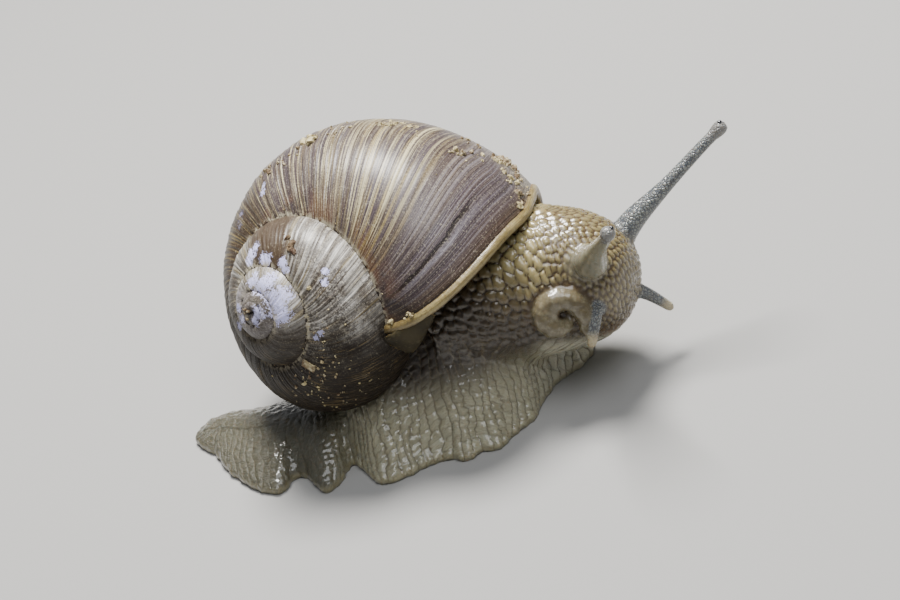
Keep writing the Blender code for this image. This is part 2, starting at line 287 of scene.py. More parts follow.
def curveThrough(points, steps, closed=False):
    points = np.array(points, float)
    if closed:
        padded = np.vstack((points[-1:], points, points[:2]))
    else:
        padded = np.vstack((2 * points[0] - points[1], points, 2 * points[-1] - points[-2]))
    u = (np.arange(steps) / steps)[:, None]
    spans = []
    for before, start, end, after in zip(padded, padded[1:], padded[2:], padded[3:]):
        leaving, arriving = (end - before) / 2, (after - start) / 2
        spans.append((2 * u**3 - 3 * u**2 + 1) * start + (u**3 - 2 * u**2 + u) * leaving
                     + (3 * u**2 - 2 * u**3) * end + (u**3 - u**2) * arriving)
    return np.vstack(spans if closed else spans + [points[-1:]])


def meshOf(shape, name):
    mesh = bpy.data.meshes.new(name)
    shape.to_mesh(mesh)
    shape.free()
    return mesh


def wrapGrid(name, columns, rows, place):
    # a flat grid wrapped round a form: place turns each point's two shares into a spot
    shape = bmesh.new()
    shape.loops.layers.uv.new("growth")
    bmesh.ops.create_grid(shape, x_segments=columns, y_segments=rows, size=0.5, calc_uvs=True)
    mesh = meshOf(shape, name)
    shares = readPoints(mesh)[:, :2] + 0.5
    writePoints(mesh, place(shares[:, 0], shares[:, 1]))
    return mesh, shares


def closeSeams(mesh):
    shape = bmesh.new()
    shape.from_mesh(mesh)
    bmesh.ops.remove_doubles(shape, verts=shape.verts, dist=seamReach)
    bmesh.ops.dissolve_degenerate(shape, edges=shape.edges, dist=seamReach)
    bmesh.ops.recalc_face_normals(shape, faces=shape.faces)
    shape.to_mesh(mesh)
    shape.free()


def closedGrid(name, columns, rows, place):
    mesh = wrapGrid(name, columns, rows, place)[0]
    closeSeams(mesh)
    return mesh


def columnsAt(at, marks, table):
    # each column of a table, read between its marks
    return [np.interp(at, marks, column) for column in table.T]


def treeOf(points):
    tree = kdtree.KDTree(len(points))
    for i, point in enumerate(points.tolist()):
        tree.insert(point, i)
    tree.balance()
    return tree


def alongTube(route, shares, around):
    # points of a tube whose route holds x, y, z and radius, with a rounded end at each side
    steps = np.linalg.norm(np.diff(route[:, :3], axis=0), axis=1)
    length = np.concatenate(((0.0,), np.cumsum(steps)))
    first, last = route[0, 3], route[-1, 3]
    reach = -first + shares * (length[-1] + first + last)
    held = np.clip(reach, 0.0, length[-1])

    def middleAt(shift):
        return np.stack(columnsAt(np.clip(held + shift, 0, length[-1]), length, route[:, :3]), -1)

    radius = np.interp(held, length, route[:, 3])
    line = unit(middleAt(0.3) - middleAt(-0.3))
    over = reach - held
    dome = np.sqrt(np.clip(1.0 - (over / radius) ** 2, 0.0, 1.0))
    side = unit(np.cross(line, np.array((0.31, -0.17, 0.93))))
    spoke = side * np.cos(around)[:, None] + np.cross(line, side) * np.sin(around)[:, None]
    return middleAt(0.0) + line * over[:, None] + spoke * (radius * dome)[:, None]


def addObject(name, mesh):
    obj = bpy.data.objects.new(name, mesh)
    bpy.context.scene.collection.objects.link(obj)
    return obj


def joined(name, meshes):
    shape = bmesh.new()
    for mesh in meshes:
        shape.from_mesh(mesh)
    return meshOf(shape, name)


def remeshed(mesh, size):
    # one closed skin round overlapping forms
    obj = addObject("rough", mesh)
    step = obj.modifiers.new("skin", "REMESH")
    step.mode = "VOXEL"
    step.voxel_size = size
    graph = bpy.context.evaluated_depsgraph_get()
    result = bpy.data.meshes.new_from_object(obj.evaluated_get(graph))
    bpy.data.objects.remove(obj)
    return result


def toFrame(name, mesh, material, slot, *nodes):
    # a finished piece: metres, smooth, riding on the body in place of its CAD nodes
    mesh.transform(Matrix.Scale(mm, 4))
    mesh.materials.clear()
    mesh.materials.append(material)
    mesh.shade_smooth()
    obj = addObject(name, mesh)
    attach(obj, "root")
    if nodes:
        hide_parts(*nodes)
    print(name, "done:", sum(len(face.vertices) - 2 for face in mesh.polygons), "triangles")
    return obj


# floor

floorSettings = {"side": 3.0, "colour": (0.33, 0.325, 0.315)}


def addFloor(s):
    shape = bmesh.new()
    bmesh.ops.create_grid(shape, x_segments=1, y_segments=1, size=s["side"])
    mesh = meshOf(shape, "floor")
    mesh.materials.append(newFinish("floor", rough=0.9, colour=s["colour"], shine=0.1)[0])
    addObject("floor", mesh)


addFloor(floorSettings)


# shell

shellForm = {
    "pole": (-14.7, -11.5, 25.0),
    "turn": (65.1, -7.2, -39.4),  # degrees about X, then Y, then Z
    "turns": 4.6,
    "coil": 12.54,  # from the axis to the middle of the last tube
    "growth": 0.653,  # natural log of the widening in one turn
    "descent": 1.99,
    "descentPower": 1.27,
    "width": 0.99,
    "height": 1.22,
    "leanUp": 0.037,
    "leanOut": -0.056,
    "firstSwell": (0.45, 0.9),  # how much, and over how many turns
    "lastDrop": 0.11,
    "dropTurns": 0.35,
    # the mouth's upper corner: how far it flares and draws back, its middle and half width in degrees,
    # and the turn it starts at
    "corner": (0.85, 0.03, -57.0, 49.0, 4.42),
    "wall": 1.0,
    "rows": 1640,
    "columns": 60,
    "rim": 12,  # of the rows, how many turn inwards at the mouth
    "stop": 0.004,  # turns short of the mouth where the last row lies
    # share of the columns and the degrees round the tube there: finer steps on the side that shows
    "spacing": ((0.0, 0.1, 0.9, 1.0), (-180.0, -128.0, 118.0, 180.0)),
    # growth ribs: height in millimetres, how close along and round the tube, and which stretch of noise
    "ribs": ((0.085, 1.15, 0.9, 4.2), (0.05, 2.4, 1.1, 8.1), (0.1, 0.22, 0.7, 12.5)),
    "ribsMiddle": 0.05,
    "ribsFade": (4.55, 4.35, 0.35),  # turns between which they come up, and how much is left by the lip
    "fullSize": 6.0,  # tube size from which they stand at full height
    "seamStart": 0.9,  # turns before which no whorl lies on another
    "seamTurn": 1.5,  # and from which the seam is gritty
    "seamWide": 0.5,
    "grit": 0.13,
    "growthSpan": 260.0,  # millimetres of growth along the whole growth map
}
shellTurn = np.array(Euler([math.radians(a) for a in shellForm["turn"]], "XYZ").to_matrix())


def shellSize(at, f=shellForm):
    size = f["coil"] * np.exp(f["growth"] * (at - f["turns"]))
    fall = f["descent"] * f["coil"] * np.exp(f["growth"] * f["descentPower"] * (at - f["turns"]))
    drop = f["lastDrop"] * f["coil"] * np.maximum(at - f["turns"] + f["dropTurns"], 0.0) ** 2
    return size, fall + drop


def leaned(turn, around, f=shellForm):
    return turn + f["leanUp"] * np.sin(around) + f["leanOut"] * np.cos(around)


def shellPoint(turn, around, grow=0.0, fill=1.0, f=shellForm):
    # around is 0 on the outer side and a quarter turn towards the apex
    flare, back, middle, half, start = f["corner"]
    corner = ease(1.0 - np.abs(np.degrees(around) - middle) / half, 0.0, 1.0)
    corner = corner * ease(turn, start, f["turns"])
    grow = grow + flare * corner
    at = leaned(turn - back * corner, around)
    size, fall = shellSize(at)
    swell = 1.0 + f["firstSwell"][0] * np.clip(1.0 - at / f["firstSwell"][1], 0.0, 1.0) ** 2
    out = size + (f["width"] * size * swell + grow) * np.cos(around) * fill
    height = (f["height"] * size * swell + grow) * np.sin(around) * fill - fall
    angle = 2 * math.pi * (f["turns"] - at)
    spots = np.stack((out * np.cos(angle), out * np.sin(angle), height), -1)
    return spots @ shellTurn.T + np.array(f["pole"])


def spotOn(turn, degrees):
    return shellPoint(np.array(turn), np.array(math.radians(degrees)))


def makeShell(f):
    rows, rim, last = f["rows"], f["rim"], f["turns"] - f["stop"]
    samples = 400

    def aroundOf(share):
        return np.radians(np.interp(share, *f["spacing"]))

    def turnOf(share):
        # rows by even lengths of growth, though the first turns get some more
        arc = np.exp(f["growth"] * (np.linspace(0, last, samples) - f["turns"]))
        arc = (arc - arc[0]) / (arc[-1] - arc[0])
        marks = 0.9 * arc + 0.1 * np.linspace(0, 1, samples)
        step = np.clip(share * rows / (rows - rim), 0.0, 1.0)
        return np.interp(step, marks, np.linspace(0, last, samples))

    def place(across, along):
        around, turn = aroundOf(across), turnOf(along)
        inward = np.clip((along * rows - (rows - rim)) / rim, 0.0, 1.0)
        marks = (0.0, 0.15, 0.35, 0.95, 1.0)
        fold = np.interp(inward, marks, (0.0, 0.5, 1.0, 1.0, 1.0))
        back = np.interp(inward, marks, (0.0, -0.002, 0.0, 0.1, 0.1))
        tip = np.sqrt(np.clip(1 - (1 - turn / 0.2) ** 2, 0, 1) * (turn < 0.2) + (turn >= 0.2))
        return shellPoint(turn - back, around, -f["wall"] * fold, np.where(inward >= 1.0, 0.0, 1.0) * tip)

    mesh, shares = wrapGrid("shell", f["columns"], rows, place)
    points = readPoints(mesh)
    around, turn = aroundOf(shares[:, 0]), turnOf(shares[:, 1])
    inward = shares[:, 1] * rows > rows - rim
    at = leaned(turn, around)
    size = shellSize(at)[0]
    before, beforeFall = shellSize(at - 1)
    local = (points - np.array(f["pole"])) @ shellTurn
    level = ((np.hypot(local[:, 0], local[:, 1]) - before) / (f["width"] * before)) ** 2
    level += ((local[:, 2] + beforeFall) / (f["height"] * before)) ** 2
    gap = (np.sqrt(level) - 1.0) * before * 1.1
    gap = np.where(turn < f["seamStart"], 5.0, gap)
    # growth ribs along each line of the mouth, lower close behind the lip and on the first turns
    arc = 2 * math.pi * (1.0 + f["width"]) * shellSize(turn)[0] / f["growth"]
    lines = np.stack((arc, around * 0.5, np.zeros_like(arc)), -1)
    waves = [noiseAt(lines * (close, spread, 1) + (0, 0, shift)) for _, close, spread, shift in f["ribs"]]
    waves[0] = (1.0 - 2.0 * np.abs(waves[0])) ** 2
    ribs = sum(rib[0] * wave for rib, wave in zip(f["ribs"], waves))
    fadeEnd, fadeStart, kept = f["ribsFade"]
    strength = kept + (1.0 - kept) * ease(turn, fadeEnd, fadeStart)
    strength = strength * np.clip(size / f["fullSize"], 0.15, 1.0)
    outward = unit(shellPoint(turn, around, 0.5) - shellPoint(turn, around, 0.0))
    lift = (ribs - f["ribsMiddle"]) * strength
    # the seam where each whorl meets the last one is pinched and gritty
    grit = noiseAt(points * 1.7) + 0.6 * noiseAt(points * 4.0)
    pinch = f["grit"] * np.exp(-np.maximum(gap, 0) / f["seamWide"])
    lift += pinch * (grit + 0.2) * (turn > f["seamTurn"])
    lift = np.where(inward, 0.0, lift)
    writePoints(mesh, points + outward * lift[:, None])
    writeMarks(mesh, seamGap=np.clip(gap, -1.0, 12.0), turn=turn)
    loops = read(mesh.loops, "vertex_index", 1, np.int32).ravel()
    growth = np.stack(((arc / f["growthSpan"])[loops], shares[loops, 0]), -1)
    mesh.uv_layers["growth"].data.foreach_set("uv", growth.ravel().astype(np.float32))
    closeSeams(mesh)
    return mesh


shellPaint = {
    "plum": (0.068, 0.05, 0.059),
    "brown": (0.076, 0.05, 0.031),
    "tan": (0.18, 0.135, 0.076),
    "cream": (0.58, 0.505, 0.3),
    "white": (0.56, 0.545, 0.51),
    "ochre": (0.345, 0.265, 0.1),
    "rust": (0.21, 0.09, 0.034),
    "line": (0.02, 0.013, 0.011),
    "ash": (0.135, 0.115, 0.09),
    "bark": (0.03, 0.018, 0.01),
    "bronze": (0.085, 0.05, 0.024),
    "bloom": (0.3, 0.275, 0.305),
    "chalk": (0.6, 0.6, 0.92),
    # soil is near black: damp soil, and painted shade on the underside
    "soil": (0.013, 0.009, 0.006),
    "gold": (0.33, 0.24, 0.105),
    "grit": (0.46, 0.41, 0.3),
    # worn chalky places: turn, degrees round the tube, radius in millimetres
    "chips": (
        (4.21, 68.0, 0.9), (4.222, 62.0, 0.6), (4.28, 65.0, 0.5), (4.285, 60.0, 0.4), (3.31, 65.0, 0.7),
        (3.29, 72.0, 0.8), (3.27, 80.0, 0.7), (3.34, 82.0, 0.9), (3.41, 78.0, 0.7), (3.425, 84.0, 0.6),
        (3.53, 48.0, 0.45), (3.54, 54.0, 0.45), (3.63, 72.0, 0.45), (3.64, 77.0, 0.4), (2.99, 85.0, 0.6),
        (2.51, 68.0, 1.7), (2.43, 62.0, 1.3), (2.58, 66.0, 1.1), (2.55, 80.0, 1.2), (2.48, 86.0, 0.9),
        (2.35, 66.0, 0.9), (2.4, 76.0, 1.3), (2.5, 77.0, 1.4), (2.595, 74.0, 1.1), (2.32, 74.0, 0.8),
        (0.6, 62.0, 1.0), (0.75, 66.0, 0.7), (1.99, 84.0, 0.6), (2.08, 82.0, 0.6),
    ),
}


def finishShell(p):
    material, wire = newFinish("shell", coatRough=0.33, shine=0.16)
    (arc, across), spot = wire.shares(), wire.spot()
    turn, gap = wire.mark("turn"), wire.mark("seamGap")
    aside, _, height = (part * metre for part in spot.parts())
    arc = arc * shellForm["growthSpan"]
    wander = wire.vector(arc * 0.05, across * 3.0, 7.0).noise(1.0) * 1.6

    def lines(scale, spread, shift, detail=2.0):
        return wire.vector(arc * scale + wander * scale, across * spread, shift).noise(1.0, detail, 0.6)

    broad, coarse = lines(0.35, 1.6, 0.0, 3.0), lines(1.0, 2.6, 20.0, 3.0)
    fine, hair = lines(3.0, 5.0, 40.0, 3.0), lines(8.0, 9.0, 60.0)
    cloud, patch = spot.noise(160.0, 4.0, 0.55), spot.noise(420.0, 3.0, 0.6)
    speck, dust = spot.noise(1500.0, 3.0, 0.65), spot.noise(5000.0, 2.0, 0.6)
    # fine spiral threads break every growth line into beads
    beads = lines(3.2, 280.0, 300.0)
    thread = beads.step(0.4, 0.54) * 0.6 + 0.4
    mixed, powder = dust * 0.5 + speck * 0.5, dust * 0.6 + beads * 0.4

    # how far each stretch of the shell reaches, from the lip back to the apex
    smooth = turn.step(4.49, 4.545)
    bold = turn.near(4.465, 0.08)
    dense = turn.near(4.32, 0.21)
    left = turn.step(4.31, 4.21) * turn.step(3.7, 3.95)
    spire = turn.step(3.85, 3.62)
    crust = turn.step(4.5, 4.57) * across.step(0.47, 0.41) * across.step(0.24, 0.34)
    torn = turn + (cloud - 0.5) * 0.016 + (speck - 0.5) * 0.004
    crack = (torn.near(4.56, 0.003) * 1.6).low(1.0) * (across.near(0.67, 0.15) * 2.2).low(1.0)
    rust = gap.step(5.0, 0.8) * cloud.step(0.42, 0.56) * turn.step(3.9, 4.1)
    grey = coarse.step(0.5, 0.6) * 0.6 + fine.step(0.46, 0.6) * 0.5 * patch.step(0.3, 0.6)
    grey = (grey + cloud.step(0.5, 0.7) * 0.3).low(1.0).blend(p["ash"], p["white"])
    grime = spot.noise(230.0, 3.0, 0.6, warp=0.4).step(0.42, 0.58) * turn.step(3.95, 3.75)
    grime = grime * turn.step(3.38, 3.55) * 0.75 * mixed.step(0.58, 0.46)
    bare = (turn + (patch - 0.5) * 0.06).near(3.355, 0.095).step(0.1, 0.5)
    worn = turn.step(2.9, 2.0) * 0.3 + cloud * 0.4 + speck * 0.3
    # painted shade, with some dirt: the hollow under the second coil, a stretch of the first turns, and the
    # spire's far side
    sunk = (turn + (cloud - 0.5) * 0.1).step(2.6, 2.72) * turn.step(3.04, 2.94) * aside.step(-5.0, -9.0)
    sunk = sunk + turn.near(1.85, 0.25) * across.step(0.77, 0.7) * 0.6
    sunk = (sunk * 0.9 + aside.step(-14.5, -18.5) * spire * 0.5).low(1.0)
    powdered = 0.32 + spire * 0.3 - (sunk + bare).low(1.0) * 0.4
    # painted shade with damp soil: darker towards the bottom of the shell
    dampAndShade = (height + cloud * 16.0).step(35.5, 25.0)
    seam = gap.step(0.95, 0.12)
    held = (turn.step(1.6, 3.2) * 0.6 + 0.3) * (1.0 - dampAndShade * 0.6) * (1.0 - sunk * 0.7)
    chips = patch * 0.0
    for chipTurn, degrees, radius in p["chips"]:
        chips = chips.high(spot.farFrom(spotOn(chipTurn, degrees), radius).step(1.8, 0.2))
    ragged = spot.noise(800.0, 4.0, 0.65, warp=0.6)
    chips = (chips + (ragged - 0.5) * 2.4 + (dust - 0.5) * 2.4).step(0.46, 0.7) * chips.step(0.0, 0.2)

    base = layers(
        broad.step(0.42, 0.6).blend(p["plum"], p["brown"]), p,
        (coarse.step(0.46, 0.62) * 0.7, "tan"),
        # creamy streaks: dense and fine at the back of the last whorl, bold further on, few by the lip
        (lines(1.6, 3.0, 90.0).step(0.55, 0.6) * dense * 0.6 * thread, "ochre"),
        (fine.step(0.53, 0.57) * (dense * 0.95 + 0.18) * patch.step(0.22, 0.52) * thread, "cream"),
        (lines(4.2, 6.0, 140.0).step(0.56, 0.63) * dense * cloud.step(0.38, 0.58) * thread, "white"),
        (lines(2.1, 2.5, 180.0).step(0.51, 0.45) * dense * 0.92, "plum"),
        (coarse.step(0.53, 0.58) * bold * cloud.step(0.25, 0.5) * thread, "ochre"),
        (lines(1.2, 1.2, 80.0).step(0.54, 0.58) * bold * (fine * 0.6 + 0.6), "cream"),
        (lines(2.4, 1.6, 200.0).step(0.48, 0.42) * bold * 0.8, "plum"),
        (hair.step(0.58, 0.7) * 0.5 * patch.step(0.3, 0.6), "cream"),
        (hair.step(0.46, 0.34) * 0.6, "line"),
        (fine.step(0.43, 0.36) * 0.75, "line"),
        (smooth * 0.72, "plum"),
        (smooth * lines(2.6, 1.2, 100.0).step(0.52, 0.68) * 0.4, "bloom"),
        (smooth * lines(5.5, 1.4, 160.0).step(0.56, 0.68) * 0.3, "bloom"),
        (smooth * lines(4.2, 1.0, 120.0).step(0.43, 0.36) * 0.7, "line"),
        (smooth * lines(8.0, 1.2, 280.0).step(0.46, 0.38) * 0.6, "line"),
        # brown edge against the lip, a crust of dirt at the mouth's upper corner, and a healed break
        (turn.step(4.576, 4.596) * (fine * 1.2 + 0.2), "bronze"),
        (turn.step(4.58, 4.592) * lines(6.0, 1.0, 320.0).step(0.52, 0.42) * 0.8, "line"),
        (crust * mixed.step(0.4, 0.56) * 0.8, "ash"),
        (crust * dust.step(0.5, 0.6) * 0.6, "grit"),
        (torn.near(4.565, 0.0036) * across.near(0.66, 0.16) * (hair + 0.1), "bloom"),
        (crack, "line"),
        (rust * 0.4, "rust"),
        # grey bloom on the spire, one bare brown patch, then worn chalky places towards the apex
        (spire * 0.85, grey),
        (spire * fine.step(0.47, 0.38) * 0.45, "line"),
        (spire * lines(6.0, 4.0, 220.0).step(0.54, 0.62) * patch.step(0.35, 0.55) * thread * 0.6, "white"),
        (spire * lines(5.0, 3.0, 240.0).step(0.44, 0.38) * 0.5, "line"),
        (spire * lines(1.3, 2.0, 260.0).step(0.56, 0.64) * 0.35, "ochre"),
        (grime, "bark"),
        (bare * 0.94, (hair * 1.2 + coarse * 0.6 - 0.5).blend(p["bark"], p["bronze"])),
        (worn.step(0.55, 0.66) * 0.8, "bloom"),
        (turn.step(2.2, 1.7) * mixed.step(0.62, 0.44) * 0.75, "ash"),
        # dirt in the hollow under the second coil with painted shade over it, and painted shade on the
        # spire's far side
        ((sunk * 0.85).high(turn.step(2.0, 1.6) * 0.35), "bark"),
        (chips, "chalk"),
        # the left side and the underside are painted dark, darkest towards the bottom: partly damp soil,
        # partly painted shade; the growth lines show gold there
        (left * 0.84, "bark"),
        (left * fine.step(0.52, 0.6) * 0.4, "ochre"),
        (dampAndShade * 0.96, "soil"),
        # dust: fine pale and dark grains everywhere
        (speck.step(0.6, 0.72) * (0.35 - smooth * 0.22) * (1.0 - dampAndShade * 0.5), "grit"),
        (speck.step(0.4, 0.28) * 0.5, "line"),
        (powder.step(0.55, 0.63) * powdered * (1.0 - dampAndShade * 0.8), "grit"),
        (powder.step(0.45, 0.37) * 0.5 * (1.0 - chips), "line"),
        (dampAndShade * hair.step(0.58, 0.66) * patch.step(0.4, 0.6) * 0.6, "gold"),
        # grit held along the seam
        (seam * speck.step(0.42, 0.54) * held, "grit"),
        (gap.step(0.3, 0.05) * speck.step(0.55, 0.42), "line"))
    tall = fine * 0.6 + hair * 0.4 + speck * 0.3 * (seam + 0.35) - chips * 0.25 - crack * 1.2
    return dress(material, tall + beads * 0.3 + dust * 0.2, strength=0.9, colour=base,
                 rough=(fine * 0.25 + cloud * 0.35 + 0.16 + chips * 0.3 + seam * 0.3).low(0.95),
                 coat=(0.56 - chips * 0.56 - seam * 0.4 - dampAndShade * 0.52).high(0.0))


toFrame("shell_whorls", makeShell(shellForm), finishShell(shellPaint), "shell", "shell")


# lip of the shell

lipForm = {
    "arc": (-128.0, 101.0),  # degrees round the tube
    "thick": 0.54,
    "deep": 0.68,
    "inset": 0.24,
    "columns": 28,
    "rows": 420,
    "taper": 0.035,  # share of the bar over which each end runs out
    # degrees round the tube, and how much thicker the bar is there, in tenths
    "swell": ((-128, -78, -60, -38, 20, 60, 101), (0.3, 1.6, 2.8, 0.4, -0.3, -0.2, 0.4)),
    "channel": (2.0, 0.33, 0.16),  # where round the bar, how wide and how deep
}


def makeLip(s):
    def aroundOf(along):
        return np.radians(s["arc"][0] + (s["arc"][1] - s["arc"][0]) * along)

    def barAt(along, ahead=0.0, grow=-s["inset"]):
        return shellPoint(shellForm["turns"], aroundOf(along) + ahead, grow)

    def place(across, along):
        here = barAt(along)
        outward = unit(barAt(along, grow=0.5) - here)
        onward = unit(np.cross(unit(barAt(along, 0.02) - barAt(along, -0.02)), outward))
        end = np.minimum(np.minimum(along, 1 - along) / s["taper"], 1.0)
        taper = np.sqrt(np.clip(1 - (1 - end) ** 2, 0, 1))
        swell = 1.0 + 0.1 * np.interp(aroundOf(along), np.radians(s["swell"][0]), s["swell"][1])
        # a rounded bar with a shallow channel behind its edge
        angle = across * 2 * math.pi
        middle, wide, deep = s["channel"]
        away = np.mod(angle - middle + math.pi, 2 * math.pi) - math.pi
        radius = 1.0 - deep * np.exp(-((away / wide) ** 2))
        x = np.cos(angle) * radius * s["thick"] * taper * swell
        y = np.sin(angle) * radius * s["deep"] * taper * swell
        return here + outward * x[:, None] - onward * y[:, None]

    mesh, shares = wrapGrid("shell_lip", s["columns"], s["rows"], place)
    points = readPoints(mesh)
    wave = 0.05 * noiseAt(points * 0.7) + 0.03 * noiseAt(points * 2.1)
    writePoints(mesh, points + unit(points - barAt(shares[:, 1])) * wave[:, None])
    closeSeams(mesh)
    return mesh


lipPaint = {
    "cream": (0.18, 0.135, 0.047),
    "ochre": (0.115, 0.072, 0.022),
    "pale": (0.31, 0.25, 0.112),
    "brown": (0.06, 0.036, 0.02),
}


def finishLip(p):
    material, wire = newFinish("shell_lip", rough=0.36, coat=0.22, coatRough=0.15, subsurface=0.25,
                               radius=(1.0, 0.6, 0.3), depth=0.0008)
    (across, run), spot = wire.shares(), wire.spot()
    cloud, speck = spot.noise(260.0, 3.0), spot.noise(1900.0, 3.0, 0.6)
    grain = wire.vector(run * 30.0, across * 26.0).noise(1.0, 3.0, 0.6)
    wrinkle = wire.vector(run * 210.0, across * 5.0).noise(1.0)
    # a pale line near the shell, a brown one behind it, and clear ochre towards the mouth
    base = layers(
        (cloud * 0.5 + grain * 0.5).step(0.4, 0.6).blend(p["cream"], p["pale"]), p,
        (across.near(0.78, 0.16) * 0.75 + across.near(0.0, 0.05) * 0.35, "ochre"),
        (across.near(0.085, 0.035) * 0.7, "pale"),
        (across.near(0.175, 0.065) * 0.9, "brown"),
        (run.near(0.97, 0.16) * 0.8 + run.near(0.02, 0.2) * 0.5, "ochre"),
        (wrinkle.step(0.44, 0.34) * 0.35 + speck.step(0.42, 0.32) * 0.3, "ochre"),
        (speck.step(0.6, 0.7) * 0.4, "pale"))
    return dress(material, wrinkle * 0.7 + cloud + grain * 0.8 + speck * 0.3, deep=0.12, colour=base)


toFrame("lip", makeLip(lipForm), finishLip(lipPaint), "shell_lip", "shell_lip")
print("shell stage done")


# skin: foot, neck, head, feelers and lobe as one closed surface

footForm = {
    "outline": (
        (-31.2, -0.8), (-30.0, -3.0), (-28.0, -5.2), (-26.4, -9.0), (-24.0, -12.2), (-21.0, -15.2),
        (-18.4, -16.2), (-16.8, -14.0), (-15.2, -14.4), (-12.6, -18.2), (-10.6, -17.0), (-9.2, -13.8),
        (-7.6, -15.4), (-5.2, -19.0), (-1.5, -18.6), (1.4, -17.3), (4.0, -17.2), (6.4, -18.1),
        (8.0, -16.9), (10.4, -17.2), (12.6, -14.6), (14.8, -12.8), (16.6, -9.0), (18.4, -5.8),
        (21.4, -3.6), (23.4, -0.6), (23.2, 3.0), (20.8, 7.0), (16.6, 10.4), (11.0, 12.8),
        (5.0, 13.2), (-1.0, 12.0), (-7.0, 9.0), (-12.5, 5.6), (-17.6, 3.0), (-22.0, 2.4),
        (-26.4, 3.0), (-29.6, 2.0),
    ),
    "edge": 0.9,  # height of the margin
    # shares of the way out: where the top ends, how far the margin rolls over, and how it tucks in
    "brim": 0.62,
    "roll": 0.1,
    "tuck": 0.012,
    "rows": 90,
    # x and y of the ridge, its height, and how the flanks curve
    "ridge": (
        (-27.5, -1.6, 2.2, 0.8), (-22.0, -5.0, 3.3, 0.8), (-15.0, -6.2, 4.4, 0.9), (-8.0, -4.6, 7.5, 1.3),
        (-2.0, -3.2, 13.0, 1.6), (5.0, -2.4, 16.5, 1.6), (11.0, -1.8, 14.5, 1.5), (16.5, -1.2, 9.0, 1.3),
        (20.5, -0.2, 4.0, 1.2),
    ),
    "frill": 0.3,
}

neckForm = (  # x, y and z of the middle, half width and half height
    (5.0, -2.0, 12.0, 8.0, 7.0), (12.5, -2.0, 13.4, 8.8, 9.8), (18.0, -2.1, 13.9, 8.8, 10.1),
    (22.5, -2.8, 13.7, 8.2, 9.7), (26.0, -3.8, 13.2, 7.4, 8.9), (28.6, -4.8, 12.7, 6.3, 7.3),
    (30.4, -5.5, 12.3, 4.5, 5.0), (31.3, -5.9, 12.1, 2.1, 2.3),
)

feelerForm = {
    "upperLeft": ((29.2, -2.4, 15.2, 2.0), (32.4, -0.8, 18.2, 1.62), (37.6, 0.6, 21.4, 0.98),
                  (42.4, 2.1, 24.3, 0.8), (45.0, 2.9, 25.8, 0.75)),
    "upperRight": ((26.9, -8.4, 19.0, 2.2), (27.5, -10.9, 20.6, 2.05), (28.3, -13.0, 22.8, 1.48),
                   (29.1, -15.3, 25.1, 1.08), (30.2, -17.9, 27.6, 0.86), (30.8, -19.4, 29.1, 0.76)),
    "lowerLeft": ((30.4, -3.6, 10.6, 1.1), (32.4, -3.2, 8.7, 0.85), (34.6, -3.0, 6.0, 0.65)),
    "lowerRight": ((26.4, -7.8, 14.0, 1.4), (25.9, -11.2, 12.8, 1.0), (24.8, -12.9, 10.0, 0.64)),
}
routeSteps = 8
knobRadius = 0.98
knobGap = 0.3

lobeForm = {
    "centre": (21.9, -10.7, 13.8),
    "facing": (0.15, -0.9, 0.4),
    "proud": 0.35,
    # degrees round the curl, distance from the centre, tube radius and standing height
    "curl": (
        (-80.0, 1.45, 0.95, -0.3), (-130.0, 1.75, 1.45, -0.1), (-200.0, 1.98, 1.75, 0.0),
        (-270.0, 2.02, 1.68, 0.2), (-350.0, 2.4, 1.5, 0.3), (-402.0, 3.7, 1.2, 0.2),
    ),
}


def ridgeAt(x):
    ridge = curveThrough(footForm["ridge"], curveSteps)
    return columnsAt(x, ridge[:, 0], ridge[:, 1:])


def footPlace(outline, shares, reach, f=footForm):
    loop = np.vstack((outline, outline[:1]))
    edge = np.stack(columnsAt(shares, np.linspace(0, 1, len(loop)), loop[:, :2]), -1)
    x = np.clip(edge[:, 0], f["ridge"][0][0], f["ridge"][-1][0])
    y, top, power = ridgeAt(x)
    turned = f["brim"] + f["roll"]
    upper = np.clip(reach / f["brim"], 0.0, 1.0)
    height = f["edge"] + (top - f["edge"]) * (1.0 - upper**2) ** power
    rim = np.clip((reach - f["brim"]) / f["roll"], 0.0, 1.0)
    under = np.clip((reach - turned) / (1 - turned), 0.0, 1.0)
    spread = np.where(reach > turned, (1.0 - under) * (1 - f["tuck"]), upper - rim * f["tuck"])
    height = np.where(reach > f["brim"], f["edge"] * np.cos(rim * math.pi / 2), height)
    height = np.where(reach > turned, 0.0, height)
    return np.stack((x + (edge[:, 0] - x) * spread, y + (edge[:, 1] - y) * spread, height), -1)


def makeFoot():
    outline = curveThrough(footForm["outline"], curveSteps, closed=True)
    # a frilled margin: small rounded lobes between the larger ones
    away = unit(np.roll(outline, -2, 0) - np.roll(outline, 2, 0))
    away = np.stack((away[:, 1], -away[:, 0]), -1)
    away *= np.sign(((outline - outline.mean(0)) * away).sum(1, keepdims=True))
    flat = np.stack((outline[:, 0], outline[:, 1], np.zeros(len(outline))), -1)
    frill = footForm["frill"] * (noiseAt(flat * 0.75) + 0.6 * noiseAt(flat * 1.7 + 5.0))
    outline = outline + away * frill[:, None]
    return closedGrid("foot", len(outline), footForm["rows"],
                      lambda across, along: footPlace(outline, across, along))


def makeNeck():
    rows = curveThrough(neckForm, 10)
    lines = unit(np.gradient(rows[:, :3], axis=0))
    sides = unit(np.cross(zAxis, lines))
    marks = np.linspace(0, 1, len(rows))

    def place(across, along):
        row, side, up = (np.stack(columnsAt(along, marks, table), -1)
                         for table in (rows, sides, np.cross(lines, sides)))
        angle = across * 2 * math.pi
        closed = np.where((along <= 0) | (along >= 1), 0.0, 1.0)
        return (row[:, :3] + side * (row[:, 3] * np.cos(angle) * closed)[:, None]
                + up * (row[:, 4] * np.sin(angle) * closed)[:, None])

    return closedGrid("neck", *neckGrid, place)


def tubeMesh(name, route):
    return closedGrid(name, *tubeGrid, lambda across, along: alongTube(route, along, across * 2 * math.pi))


